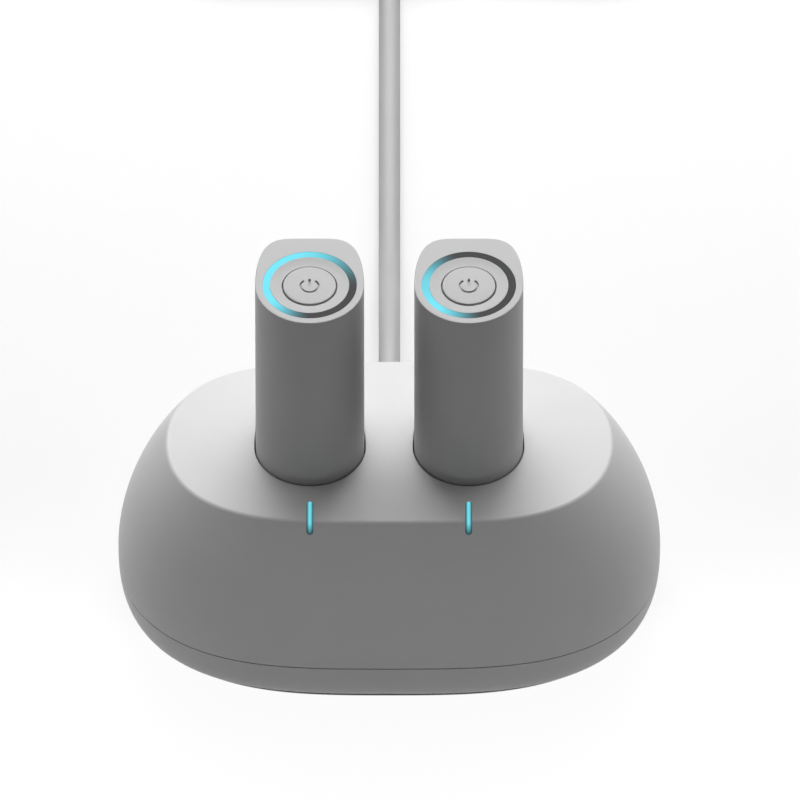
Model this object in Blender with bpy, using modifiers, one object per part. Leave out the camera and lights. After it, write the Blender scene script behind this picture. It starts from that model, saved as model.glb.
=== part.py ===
"""Two-bay charging dock for the batteries of a wireless scanner, with both batteries and its lead.

Metres, +Z up, +Y towards the back where the lead leaves, origin on the table under the dock's middle.
"""
import math

import bmesh
import bpy
from mathutils import Matrix, Vector

# Base housing
PLATEAU_LENGTH = 0.1248
PLATEAU_DEPTH = 0.0634
BASE_HEIGHT = 0.064
SWELL = 0.0136
SWELL_HEIGHT = 0.0238
UNDERCUT = 0.0048
END_SQUARENESS = (3.1, 3.77)
SIDE_SQUARENESS = (2.13, 2.11)
WALL_ROUNDNESS = 1.71
WALL_ARC = 0.51
BELLY_ROUNDNESS = 2.7
PLATEAU_EDGE = 0.0007
SEAM_HEIGHT = 0.0192
HOUSING_WALL = 0.0026
PLATEAU_WALL = 0.0026
FLOOR_WALL = 0.0026
LIP_INSET = 0.0011
LIP_HEIGHT = 0.0020
SECTION_SIDES = 42
SEAT_GAP = 0.0003
OVERRUN = 0.004

# Battery core, which sets the battery's size
CELL_RADIUS = 0.0106
CELL_LENGTH = 0.0702
CELL_Y = -0.0023
CELL_ROOM = 0.0007
CELL_HEADROOM = 0.00095
HOLDER_PLATE = 0.0014
HOLDER_SPINE = 0.0012
SPINE_WIDTH = 0.0180
PROTECTION_WIDTH = 0.0140
PROTECTION_LENGTH = 0.0520
PROTECTION_BOARD = 0.0012
CHIP_SIZE = 0.0050
CHIP_HEIGHT = 0.0014

# Battery case
CASE_WALL = 0.0016
CASE_TOP = 0.0020
CASE_EDGE = 0.0008
CASE_BACK = 0.0033
BACK_SQUARENESS = 5.0
END_CAP_THICKNESS = 0.0030
END_CAP_RIM = 0.0016
END_CAP_CHAMFER = 0.0005

# Battery top: light ring, dished bezel and power button
RING_RIM = 0.0020
RING_WIDTH = 0.0020
RING_HEIGHT = 0.0040
RING_CLEARANCE = 0.00015
DISH_DEPTH = 0.0005
BEZEL_THICKNESS = 0.0015
SKIRT_WALL = 0.0014
BUTTON_RADIUS = 0.0078
BUTTON_CLEARANCE = 0.00035
BUTTON_RISE = 0.00055
BUTTON_CROWN = 0.0002
BUTTON_EDGE = 0.0004
BUTTON_TRAVEL = 0.0005
BUTTON_WALL = 0.0012
BUTTON_FLANGE = 0.0008
STEM_RADIUS = 0.0016
STEM_ENGAGEMENT = 0.0008
SWITCH_SIZE = 0.0060
SWITCH_HEIGHT = 0.0030
BOARD_THICKNESS = 0.0016
BOARD_MARGIN = 0.0004
TOP_SPACE = 0.0062
LAMP_RADIUS = 0.0008
LAMP_HEIGHT = 0.0010
RING_LAMPS = 4

# Wells and bays
BAY_GAP = 0.01392
BAY_Y = -0.0019
WELL_DEPTH = 0.0220
WELL_CLEARANCE = 0.00035
WELL_WALL = 0.0016
WELL_FLOOR = 0.0018
WELL_FLANGE = 0.0012
WELL_FLANGE_THICKNESS = 0.0018
EAR_RADIUS = 0.0026
STAKE_RADIUS = 0.0011
STAKE_MARGIN = 0.00085
EAR_ANGLE = math.radians(40)
LEG_RADIUS = 0.0015
LEG_PIN_RADIUS = 0.0008
LEG_X = 0.0092
LEG_Y = 0.0080

# Contacts under each battery
PIN_COUNT = 3
PIN_PITCH = 0.0040
PIN_RADIUS = 0.0008
PIN_CLEARANCE = 0.0001
PIN_LENGTH = 0.0055
PIN_TRAVEL = 0.0006
PAD_RADIUS = 0.0014
PAD_BOARD = 0.0012
PAD_SETBACK = 0.0013
WINDOW_LENGTH = 0.0136
WINDOW_WIDTH = 0.0046
BLOCK_MARGIN = 0.0010
BLOCK_HEIGHT = 0.0058
CONTACT_BOARD_WIDTH = 0.0240
CONTACT_BOARD_MARGIN = 0.0020
CONTACT_BOARD_BACK = 0.0110

# Light bars across the front edge of the plateau
BAR_WIDTH = 0.00125
BAR_CLEARANCE = 0.00015
BAR_ON_TOP = 0.0072
BAR_DROP = 0.0029
BAR_LEG = 0.0020
BAR_LEG_SETBACK = 0.0010

# Feet and the screws above them
FOOT_STAND = 0.0009
FOOT_RADIUS = 0.0058
FOOT_RECESS = 0.0013
FOOT_SETOUT = 0.00664
FOOT_Y = 0.0120
POST_RADIUS = 0.0034
POST_WALL = 0.0013
COUNTERBORE_RADIUS = 0.0031
COUNTERBORE_DEPTH = 0.0080
SCREW_HEAD_RADIUS = 0.0026
SCREW_HEAD_HEIGHT = 0.0018
SCREW_RADIUS = 0.0013
SCREW_LENGTH = 0.0180
SOCKET_RADIUS = 0.0010

# Main board, ballast and power inlet
MAIN_BOARD_LENGTH = 0.060
MAIN_BOARD_DEPTH = 0.026
MAIN_BOARD_CLEARANCE = 0.0012
MAIN_BOARD_HEIGHT = 0.0064
BOARD_POST_RADIUS = 0.0026
BOARD_POST_INSET = 0.0038
INDUCTOR_SIZE = (0.0090, 0.0090, 0.0045)
CONTROLLER_SIZE = (0.0070, 0.0070, 0.0014)
SOLDERED_X = 0.0145
BALLAST_LENGTH = 0.068
BALLAST_HEIGHT = 0.008
BALLAST_EDGE = 0.0008
BALLAST_SETBACK = 0.0170
BALLAST_CLEARANCE = 0.0045
INLET_WIDTH = 0.0090
INLET_DEPTH = 0.0130
INLET_TALL = 0.0096
WIRE_RADIUS = 0.0012
WIRE_SETBACK = 0.0060
WIRE_RISE = 0.0050
WIRE_POINTS = 7

# Plugs
BARREL_RADIUS = 0.00275
BARREL_LENGTH = 0.0095
NECK_RADIUS = 0.0041
PLUG_RADIUS = 0.0052
PLUG_BODY = 0.0110
PLUG_EDGE = 0.0008
RELIEF_LENGTH = 0.0240
RELIEF_ROOT = 0.0046
RELIEF_TIP = 0.0036
RELIEF_RIBS = 4
RIB_DEPTH = 0.0005

# Lead: its route to the coil, the coil and the tail to the far plug
CORD_RADIUS = 0.00305
CORD_ROUTE = [
    (0.0, 0.0809, 0.01310),
    (0.0, 0.0920, 0.01300),
    (0.0, 0.1080, 0.01060),
    (0.0, 0.1240, 0.00610),
    (0.0, 0.1400, 0.00360),
    (0.0, 0.1560, 0.00312),
    (0.0, 0.1940, 0.00310),
    (0.0, 0.2320, 0.00310),
    (0.0, 0.2665, 0.00310),
]
TAIL_ROUTE = [
    (-0.0162, 0.2509, 0.00950),
    (-0.0040, 0.2509, 0.00980),
    (0.0060, 0.2509, 0.00940),
    (0.0150, 0.2509, 0.00700),
    (0.0220, 0.2509, 0.00545),
    (0.0280, 0.2509, 0.00540),
]
CORD_POINTS = 15
TAIL_POINTS = 6
SMOOTH_STEPS = 12
COIL_CENTRE = (-0.0391, 0.2900)
COIL_TURN_RADII = (0.0269, 0.0391)
COIL_LAYER_PITCH = 0.0063
TIE_THICKNESS = 0.0010
TIE_WIDTH = 0.0080
TIE_STAND = 0.0004

# Colour, roughness and metallic value of each finish
FINISHES = {
    "housing_grey": ((0.60, 0.60, 0.60), 0.55, 0.0),
    "battery_grey": ((0.56, 0.56, 0.56), 0.50, 0.0),
    "well_grey": ((0.10, 0.10, 0.11), 0.60, 0.0),
    "light_guide": ((0.25, 0.80, 0.95), 0.30, 0.0),
    "black_plastic": ((0.03, 0.03, 0.03), 0.55, 0.0),
    "board_green": ((0.03, 0.20, 0.09), 0.45, 0.0),
    "gold_plate": ((0.83, 0.62, 0.25), 0.30, 1.0),
    "steel": ((0.60, 0.60, 0.60), 0.35, 1.0),
    "cell_wrap": ((0.10, 0.30, 0.45), 0.40, 0.0),
    "rubber": ((0.05, 0.05, 0.05), 0.85, 0.0),
    "cord_grey": ((0.55, 0.55, 0.55), 0.60, 0.0),
    "wire_red": ((0.45, 0.04, 0.03), 0.50, 0.0),
}

# Battery size and levels, worked out from the cell
BATTERY_RADIUS = CELL_RADIUS - CELL_Y + CELL_ROOM + CASE_WALL
BATTERY_DEPTH = BATTERY_RADIUS + CASE_BACK
BATTERY_BOTTOM = BASE_HEIGHT - WELL_DEPTH
HOLDER_BOTTOM = BATTERY_BOTTOM + END_CAP_THICKNESS + SEAT_GAP
CELL_BOTTOM = HOLDER_BOTTOM + HOLDER_PLATE + SEAT_GAP
HOLDER_TOP = CELL_BOTTOM + CELL_LENGTH + CELL_HEADROOM + HOLDER_PLATE
TOP_BOARD_BOTTOM = HOLDER_TOP + SEAT_GAP
TOP_BOARD_TOP = TOP_BOARD_BOTTOM + BOARD_THICKNESS
BATTERY_TOP = TOP_BOARD_TOP + TOP_SPACE
RING_OUTER = BATTERY_RADIUS - RING_RIM
RING_INNER = RING_OUTER - RING_WIDTH
BEZEL_OUTER = RING_INNER - RING_CLEARANCE
BEZEL_HOLE = BUTTON_RADIUS + BUTTON_CLEARANCE
BEZEL_UNDERSIDE = BATTERY_TOP - DISH_DEPTH - BEZEL_THICKNESS
SWITCH_TOP = TOP_BOARD_TOP + SEAT_GAP + SWITCH_HEIGHT

# Levels and places in the base
BAY_X = BATTERY_RADIUS + BAY_GAP / 2
COVER_TOP = SEAM_HEIGHT - SEAT_GAP / 2
SHELL_BOTTOM = SEAM_HEIGHT + SEAT_GAP / 2
CAVITY_TOP = BASE_HEIGHT - PLATEAU_WALL
CAVITY_FLOOR = FOOT_STAND + FLOOR_WALL
WELL_TOP = CAVITY_TOP - SEAT_GAP
FLANGE_BOTTOM = WELL_TOP - WELL_FLANGE_THICKNESS
WELL_SEAT = BATTERY_BOTTOM - SEAT_GAP
WELL_UNDERSIDE = WELL_SEAT - WELL_FLOOR
BLOCK_TOP = WELL_UNDERSIDE - SEAT_GAP
BLOCK_BOTTOM = BLOCK_TOP - BLOCK_HEIGHT
CONTACT_BOARD_TOP = BLOCK_BOTTOM - SEAT_GAP
CONTACT_BOARD_BOTTOM = CONTACT_BOARD_TOP - BOARD_THICKNESS
PIN_BOTTOM = WELL_SEAT - PIN_LENGTH
MAIN_BOARD_TOP = MAIN_BOARD_HEIGHT + BOARD_THICKNESS
INLET_BOTTOM = MAIN_BOARD_TOP + SEAT_GAP
INLET_AXIS = INLET_BOTTOM + INLET_TALL / 2
SCREW_SEAT = FOOT_STAND + FOOT_RECESS + COUNTERBORE_DEPTH
EAR_SETOUT = WELL_CLEARANCE + WELL_WALL + STAKE_RADIUS + STAKE_MARGIN
EAR_REACH = BATTERY_RADIUS + EAR_SETOUT
FRONT_EARS = [(x * EAR_REACH * math.sin(EAR_ANGLE), -EAR_REACH * math.cos(EAR_ANGLE)) for x in (-1, 1)]
EAR_PLACES = FRONT_EARS + [(0.0, BATTERY_DEPTH + EAR_SETOUT)]
LEG_PLACES = [(-LEG_X, -LEG_Y), (LEG_X, LEG_Y)]
PIN_PLACES = [((i - (PIN_COUNT - 1) / 2) * PIN_PITCH, 0.0) for i in range(PIN_COUNT)]
FOOT_X = BAY_X + BATTERY_RADIUS + FOOT_SETOUT
FOOT_PLACES = [(x * FOOT_X, y * FOOT_Y) for y in (-1, 1) for x in (-1, 1)]
COIL_INNER = COIL_TURN_RADII[0] - CORD_RADIUS
COIL_OUTER = COIL_TURN_RADII[1] + CORD_RADIUS
COIL_TOP = 2 * CORD_RADIUS + COIL_LAYER_PITCH


def collection(name):
    """Returns a new collection linked to the scene."""
    made = bpy.data.collections.new(name)
    bpy.context.scene.collection.children.link(made)
    return made


for leftover in list(bpy.data.objects):
    bpy.data.objects.remove(leftover)
PARTS = collection("charging_dock")
CUTTERS = collection("cutters")


def finish(name):
    """Returns the material of that name, made on first use."""
    if name in bpy.data.materials:
        return bpy.data.materials[name]
    colour, roughness, metallic = FINISHES[name]
    made = bpy.data.materials.new(name)
    made.use_nodes = True
    shader = made.node_tree.nodes["Principled BSDF"]
    shader.inputs["Base Color"].default_value = (*colour, 1.0)
    shader.inputs["Roughness"].default_value = roughness
    shader.inputs["Metallic"].default_value = metallic
    return made


def place(name, bm, look=None, parent=None):
    """Makes an object from a bmesh; without a look it is a cutter."""
    bmesh.ops.recalc_face_normals(bm, faces=bm.faces)
    mesh = bpy.data.meshes.new(name)
    bm.to_mesh(mesh)
    bm.free()
    made = bpy.data.objects.new(name, mesh)
    made.parent = parent
    if look:
        mesh.materials.append(finish(look))
        mesh.shade_smooth()
        mesh.set_sharp_from_angle(angle=math.radians(35))
        PARTS.objects.link(made)
    else:
        made.hide_render = True
        made.display_type = "WIRE"
        CUTTERS.objects.link(made)
    return made


def combine(target, tool, operation):
    """Adds a Boolean with the tool to the target."""
    modifier = target.modifiers.new(tool.name, "BOOLEAN")
    modifier.operation = operation
    modifier.object = tool
    modifier.solver = "EXACT"


def cut(target, *tools):
    """Cuts each tool out of the target."""
    for tool in tools:
        combine(target, tool, "DIFFERENCE")
    return target


def join(target, *tools):
    """Joins each tool to the target."""
    for tool in tools:
        combine(target, tool, "UNION")
    return target


def add_box(bm, low, high):
    """Adds a box between two corners to a bmesh."""
    low, high = Vector(low), Vector(high)
    matrix = Matrix.Translation((low + high) / 2) @ Matrix.Diagonal((*(high - low), 1.0))
    bmesh.ops.create_cube(bm, size=1.0, matrix=matrix)


def box(name, low, high, look=None, parent=None):
    """Makes one box between two corners."""
    bm = bmesh.new()
    add_box(bm, low, high)
    return place(name, bm, look, parent)


def add_loft(bm, rings):
    """Adds a closed solid through rings that have the same number of points to a bmesh."""
    loops = [[bm.verts.new(point) for point in ring] for ring in rings]
    for lower, upper in zip(loops, loops[1:]):
        for i in range(len(lower)):
            bm.faces.new((lower[i - 1], lower[i], upper[i], upper[i - 1]))
    bm.faces.new(loops[0])
    bm.faces.new(loops[-1])


def circle(radius, sides):
    """Returns the corners of a flat ring round its own middle."""
    turns = [2 * math.pi * i / sides for i in range(sides)]
    return [(radius * math.cos(turn), radius * math.sin(turn)) for turn in turns]


def rods(name, centres, radius, bottom, top, parent=None, sides=12):
    """Makes an upright cylinder at each centre, to cut or join with."""
    bm = bmesh.new()
    for x, y in centres:
        add_loft(bm, [[(x + a, y + b, z) for a, b in circle(radius, sides)] for z in (bottom, top)])
    return place(name, bm, parent=parent)


def level_rod(name, radius, front, back, sides=16):
    """Makes a cylinder along +Y on the inlet's axis, to cut with."""
    bm = bmesh.new()
    add_loft(bm, [[(a, y, INLET_AXIS + b) for a, b in circle(radius, sides)] for y in (front, back)])
    return place(name, bm)


def extrude(name, outline, travel, look=None, parent=None):
    """Makes a prism by moving a flat outline of 3-D points along a vector."""
    bm = bmesh.new()
    face = bm.faces.new([bm.verts.new(point) for point in outline])
    raised = bmesh.ops.extrude_face_region(bm, geom=[face])["geom"]
    corners = [piece for piece in raised if isinstance(piece, bmesh.types.BMVert)]
    bmesh.ops.translate(bm, verts=corners, vec=travel)
    return place(name, bm, look, parent)


def loft(name, rings, look=None, parent=None):
    """Makes a closed solid through rings that have the same number of points."""
    bm = bmesh.new()
    add_loft(bm, rings)
    return place(name, bm, look, parent)


def turned(name, profile, look, parent=None, location=(0.0, 0.0, 0.0), rotation=(0.0, 0.0, 0.0), sides=24):
    """Makes a turned solid; its profile of (radius, height) runs from the top down its outer side."""
    bm = bmesh.new()
    corners = [bm.verts.new((radius, 0.0, height)) for radius, height in profile]
    for first, second in zip(corners, corners[1:]):
        bm.edges.new((first, second))
    if profile[0][0] > 0.0:
        bm.edges.new((corners[-1], corners[0]))
    mesh = bpy.data.meshes.new(name)
    bm.to_mesh(mesh)
    bm.free()
    mesh.materials.append(finish(look))
    made = bpy.data.objects.new(name, mesh)
    made.parent = parent
    made.location = location
    made.rotation_euler = rotation
    screw = made.modifiers.new("turn", "SCREW")
    screw.steps = sides
    screw.render_steps = sides
    screw.use_merge_vertices = True
    screw.merge_threshold = 0.00001
    PARTS.objects.link(made)
    return made


def tube(name, points, radius, look):
    """Makes a tube with filled ends along a row of points."""
    curve = bpy.data.curves.new(name, "CURVE")
    curve.dimensions = "3D"
    curve.bevel_depth = radius
    curve.bevel_resolution = 2
    curve.use_fill_caps = True
    spline = curve.splines.new("POLY")
    spline.points.add(len(points) - 1)
    for target, point in zip(spline.points, points):
        target.co = (*point, 1.0)
    curve.materials.append(finish(look))
    made = bpy.data.objects.new(name, curve)
    PARTS.objects.link(made)
    return made


def empty(name, location):
    """Makes an empty that carries the pieces of one bay."""
    made = bpy.data.objects.new(name, None)
    made.location = location
    PARTS.objects.link(made)
    return made


def spread(start, end, count):
    """Returns evenly spaced values from start to end, both included."""
    return [start + (end - start) * i / (count - 1) for i in range(count)]


def smooth(route, count):
    """Returns evenly spaced points on a smooth curve through a route's own points."""
    route = [Vector(point) for point in route]
    route = [2 * route[0] - route[1]] + route + [2 * route[-1] - route[-2]]
    dense = []
    for before, start, end, after in zip(route, route[1:], route[2:], route[3:]):
        leave, arrive = (end - before) / 2, (after - start) / 2
        for share in spread(0.0, 1.0, SMOOTH_STEPS)[:-1]:
            square, cube = share**2, share**3
            from_start = start * (2 * cube - 3 * square + 1) + leave * (cube - 2 * square + share)
            dense.append(from_start + end * (3 * square - 2 * cube) + arrive * (cube - square))
    dense.append(route[-2])
    lengths = [0.0]
    for first, second in zip(dense, dense[1:]):
        lengths.append(lengths[-1] + (second - first).length)
    points = []
    at = 0
    for target in spread(0.0, lengths[-1], count):
        while at < len(dense) - 2 and lengths[at + 1] < target:
            at += 1
        share = (target - lengths[at]) / (lengths[at + 1] - lengths[at])
        points.append(dense[at].lerp(dense[at + 1], share))
    return points


def arc_drop(share, roundness):
    """Returns how far a superellipse has dropped at a share of its width."""
    return 1.0 - (1.0 - share**roundness) ** (1.0 / roundness)


def wall_offset(height):
    """Returns how far the housing stands out beyond the plateau's outline at a height."""
    if height >= SWELL_HEIGHT:
        share = (height - SWELL_HEIGHT) / (BASE_HEIGHT - SWELL_HEIGHT)
        return SWELL * (1.0 - arc_drop(share * WALL_ARC, WALL_ROUNDNESS) / arc_drop(WALL_ARC, WALL_ROUNDNESS))
    share = (SWELL_HEIGHT - height) / SWELL_HEIGHT
    return SWELL - (SWELL + UNDERCUT) * arc_drop(share, BELLY_ROUNDNESS)


def half_depth_at(height, x, inset=0.0):
    """Returns the housing's half depth at a height and a distance from its middle."""
    rise = height / BASE_HEIGHT
    ends = END_SQUARENESS[0] + (END_SQUARENESS[1] - END_SQUARENESS[0]) * rise
    sides = SIDE_SQUARENESS[0] + (SIDE_SQUARENESS[1] - SIDE_SQUARENESS[0]) * rise
    offset = wall_offset(height) - inset
    share = min(abs(x) / (PLATEAU_LENGTH / 2 + offset), 1.0)
    return (PLATEAU_DEPTH / 2 + offset) * (1.0 - share**ends) ** (1.0 / sides)


def housing_ring(height, inset=0.0, level=None):
    """Returns the housing's outline at a height, drawn at another level where one is given."""
    half_length = PLATEAU_LENGTH / 2 + wall_offset(height) - inset
    points = []
    for i in range(SECTION_SIDES):
        turn = 2 * math.pi * i / SECTION_SIDES
        x = half_length * math.sin(turn)
        y = math.copysign(half_depth_at(height, x, inset), math.cos(turn))
        points.append((x, y, height if level is None else level))
    return points


def plateau_edge_rings():
    """Returns the rings that round the edge between the housing's side and its flat top."""
    start = BASE_HEIGHT - PLATEAU_EDGE
    rings = []
    for share in spread(0.0, 1.0, 3):
        offset = wall_offset(start) * (1.0 - share) ** 2 - PLATEAU_EDGE * share**2
        height = BASE_HEIGHT - PLATEAU_EDGE * (1.0 - share) ** 2
        rings.append(housing_ring(BASE_HEIGHT, -offset, height))
    return rings


def battery_outline(grow=0.0, front=14, back=10):
    """Returns the battery's D section about its axis: a half circle in front and a squarer back."""
    radius, depth = BATTERY_RADIUS + grow, BATTERY_DEPTH + grow
    points = []
    for i in range(front + 1):
        turn = math.pi + math.pi * i / front
        points.append((radius * math.cos(turn), radius * math.sin(turn)))
    for i in range(1, back):
        x = radius * math.cos(math.pi * i / back)
        points.append((x, depth * (1.0 - abs(x / radius) ** BACK_SQUARENESS) ** 0.5))
    return points


def battery_ring(height, grow=0.0):
    """Returns the battery's section at a height."""
    return [(x, y, height) for x, y in battery_outline(grow)]


def battery_prism(name, grow, bottom, top, look=None, parent=None):
    """Makes an upright prism of the battery's section."""
    return loft(name, [battery_ring(bottom, grow), battery_ring(top, grow)], look, parent)


def window(name, bay, bottom, top):
    """Makes the cutter for a contact window through a floor."""
    half_x, half_y = WINDOW_LENGTH / 2 + SEAT_GAP, WINDOW_WIDTH / 2 + SEAT_GAP
    return box(name, (-half_x, -half_y, bottom), (half_x, half_y, top), parent=bay)


def make_upper_shell(bays):
    """Makes the upper housing: a shell with screw posts, stakes, well mouths and light slots."""
    sides = [housing_ring(height) for height in spread(SHELL_BOTTOM, BASE_HEIGHT - PLATEAU_EDGE, 9)[:-1]]
    shell = loft("upper_shell", sides + plateau_edge_rings(), "housing_grey")
    rebate_top = SHELL_BOTTOM + LIP_HEIGHT
    rings = [
        housing_ring(SHELL_BOTTOM, LIP_INSET, SHELL_BOTTOM - OVERRUN),
        housing_ring(rebate_top, LIP_INSET),
    ]
    rings += [housing_ring(height, HOUSING_WALL) for height in spread(rebate_top, CAVITY_TOP, 5)]
    cavity = loft("upper_cavity", rings)
    cut(cavity, rods("upper_posts", FOOT_PLACES, POST_RADIUS, SHELL_BOTTOM, BASE_HEIGHT, sides=10))
    for side, bay in bays:
        low = FLANGE_BOTTOM - STAKE_RADIUS
        cut(cavity, rods(f"{side}_stakes", EAR_PLACES, STAKE_RADIUS, low, BASE_HEIGHT, parent=bay, sides=8))
    low, top = SHELL_BOTTOM - OVERRUN, SCREW_SEAT + SCREW_LENGTH + SEAT_GAP
    cut(shell, cavity, rods("pilot_holes", FOOT_PLACES, SCREW_RADIUS + SEAT_GAP, low, top, sides=8))
    for side, bay in bays:
        levels = CAVITY_TOP - OVERRUN, BASE_HEIGHT + OVERRUN
        mouth = battery_prism(f"{side}_mouth", WELL_CLEARANCE, *levels, parent=bay)
        cut(shell, mouth, make_bar_slot(side, bay))
    return shell


def make_bottom_cover():
    """Makes the lower housing, with its locating lip, screw posts, board posts and foot recesses."""
    rise = COVER_TOP - FOOT_STAND
    heights = [FOOT_STAND + rise * (1.0 - math.cos(turn)) for turn in spread(0.0, math.pi / 2, 6)]
    lip_inset = LIP_INSET + SEAT_GAP
    lip_top = COVER_TOP + LIP_HEIGHT
    lip = [housing_ring(COVER_TOP, lip_inset), housing_ring(COVER_TOP, lip_inset, lip_top)]
    cover = loft("bottom_cover", [housing_ring(height) for height in heights] + lip, "housing_grey")
    inner = [housing_ring(height, HOUSING_WALL) for height in spread(CAVITY_FLOOR, COVER_TOP, 4)]
    cavity = loft("lower_cavity", inner + [housing_ring(COVER_TOP, HOUSING_WALL, lip_top + OVERRUN)])
    posts = rods("lower_posts", FOOT_PLACES, COUNTERBORE_RADIUS + POST_WALL, FOOT_STAND, COVER_TOP, sides=10)
    places, post_top = board_post_places(), MAIN_BOARD_HEIGHT - SEAT_GAP
    cut(cavity, posts, rods("board_posts", places, BOARD_POST_RADIUS, FOOT_STAND, post_top, sides=10))
    below, hole = FOOT_STAND - OVERRUN, SCREW_RADIUS + SEAT_GAP
    recess_top, outside = FOOT_STAND + FOOT_RECESS, inlet_face() + neck_length() + OVERRUN
    cut(
        cover,
        cavity,
        rods("foot_recesses", FOOT_PLACES, FOOT_RADIUS + SEAT_GAP, below, recess_top, sides=14),
        rods("counterbores", FOOT_PLACES, COUNTERBORE_RADIUS, below, SCREW_SEAT, sides=10),
        rods("screw_holes", FOOT_PLACES, hole, below, COVER_TOP + OVERRUN, sides=8),
        rods("board_pilots", places, hole, CAVITY_FLOOR, MAIN_BOARD_TOP, sides=8),
        level_rod("inlet_hole", NECK_RADIUS + SEAT_GAP, inlet_face() - SEAT_GAP, outside),
    )
    return cover


def inlet_face():
    """Returns how far back the inlet's open face lies, just inside the housing's wall."""
    upper = half_depth_at(INLET_AXIS + INLET_TALL / 2, INLET_WIDTH / 2, HOUSING_WALL)
    lower = half_depth_at(INLET_BOTTOM, INLET_WIDTH / 2, HOUSING_WALL)
    return min(upper, lower) - SEAT_GAP


def neck_length():
    """Returns how long a plug's neck is: it reaches from the inlet through the housing's wall."""
    outside = max(half_depth_at(INLET_AXIS + PLUG_RADIUS, 0.0), half_depth_at(INLET_AXIS, 0.0))
    return outside + SEAT_GAP - inlet_face()


def main_board_y():
    """Returns the main board's middle: its back corners stay clear of the housing's wall."""
    wall = half_depth_at(MAIN_BOARD_HEIGHT, MAIN_BOARD_LENGTH / 2, HOUSING_WALL)
    return wall - MAIN_BOARD_CLEARANCE - MAIN_BOARD_DEPTH / 2


def board_post_places():
    """Returns the places of the two posts that carry the main board."""
    reach = MAIN_BOARD_LENGTH / 2 - BOARD_POST_INSET
    return [(x * reach, main_board_y()) for x in (-1, 1)]


def bar_start():
    """Returns the light bar's back end on the plateau, about the bay's own axis."""
    return BAR_ON_TOP - half_depth_at(BASE_HEIGHT, BAY_X) - BAY_Y


def bar_leg():
    """Returns the front and back of a light bar's leg, inside the housing's wall."""
    front = BAR_LEG_SETBACK - half_depth_at(CAVITY_TOP, BAY_X, HOUSING_WALL) - BAY_Y
    return front, front + BAR_LEG


def make_bar_slot(side, bay):
    """Makes the slot that a light bar lies in, over the plateau's edge and down the wall."""
    half = BAR_WIDTH / 2 + BAR_CLEARANCE
    low = BASE_HEIGHT - BAR_DROP - BAR_CLEARANCE
    start = bar_start() + BAR_CLEARANCE
    _, leg_back = bar_leg()
    front = -half_depth_at(low, BAY_X) - BAY_Y - OVERRUN
    bottom, top = CAVITY_TOP - OVERRUN, BASE_HEIGHT + OVERRUN
    outline = [(start, top), (front, top), (front, low), (leg_back, low), (leg_back, bottom), (start, bottom)]
    return extrude(f"{side}_slot", [(-half, y, z) for y, z in outline], (2 * half, 0.0, 0.0), parent=bay)


def make_light_bar(side, bay):
    """Makes a light bar: it follows the plateau's edge and has a leg down to its lamp."""
    half = BAR_WIDTH / 2
    low = BASE_HEIGHT - BAR_DROP
    start = bar_start()
    leg_front, leg_back = bar_leg()
    leg_bottom = CONTACT_BOARD_TOP + LAMP_HEIGHT + SEAT_GAP
    heights = spread(BASE_HEIGHT - PLATEAU_EDGE, low, 3)
    outline = [(start, BASE_HEIGHT), (PLATEAU_EDGE - half_depth_at(BASE_HEIGHT, BAY_X) - BAY_Y, BASE_HEIGHT)]
    outline += [(-half_depth_at(height, BAY_X) - BAY_Y, height) for height in heights]
    outline += [(leg_front, low), (leg_front, leg_bottom), (leg_back, leg_bottom)]
    outline += [(leg_back, CAVITY_TOP), (start, CAVITY_TOP)]
    ring = [(-half, y, z) for y, z in outline]
    return extrude(f"{side}_light_bar", ring, (2 * half, 0.0, 0.0), "light_guide", bay)


def make_well(side, bay):
    """Makes a well: a cup with a flange, ears for its stakes, a contact window and legs for its board."""
    outer = WELL_CLEARANCE + WELL_WALL
    rooted = WELL_UNDERSIDE + WELL_FLOOR / 2
    well = battery_prism(f"{side}_well", outer, WELL_UNDERSIDE, WELL_TOP, "well_grey", bay)
    flange = battery_prism(f"{side}_flange", outer + WELL_FLANGE, FLANGE_BOTTOM, WELL_TOP, parent=bay)
    ears = rods(f"{side}_ears", EAR_PLACES, EAR_RADIUS, FLANGE_BOTTOM, WELL_TOP, parent=bay, sides=10)
    leg_bottom = CONTACT_BOARD_TOP + SEAT_GAP
    pin_bottom = CONTACT_BOARD_BOTTOM - LEG_PIN_RADIUS
    legs = rods(f"{side}_legs", LEG_PLACES, LEG_RADIUS, leg_bottom, rooted, parent=bay, sides=8)
    leg_pins = rods(f"{side}_leg_pins", LEG_PLACES, LEG_PIN_RADIUS, pin_bottom, rooted, parent=bay, sides=8)
    join(well, flange, ears, legs, leg_pins)
    hole, low, top = STAKE_RADIUS + SEAT_GAP, FLANGE_BOTTOM - OVERRUN, WELL_TOP + OVERRUN
    holes = rods(f"{side}_ear_holes", EAR_PLACES, hole, low, top, parent=bay, sides=8)
    hollow = battery_prism(f"{side}_hollow", WELL_CLEARANCE, WELL_SEAT, top, parent=bay)
    slot = window(f"{side}_well_window", bay, WELL_UNDERSIDE - OVERRUN, WELL_SEAT + OVERRUN)
    return cut(well, holes, hollow, slot)


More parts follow.
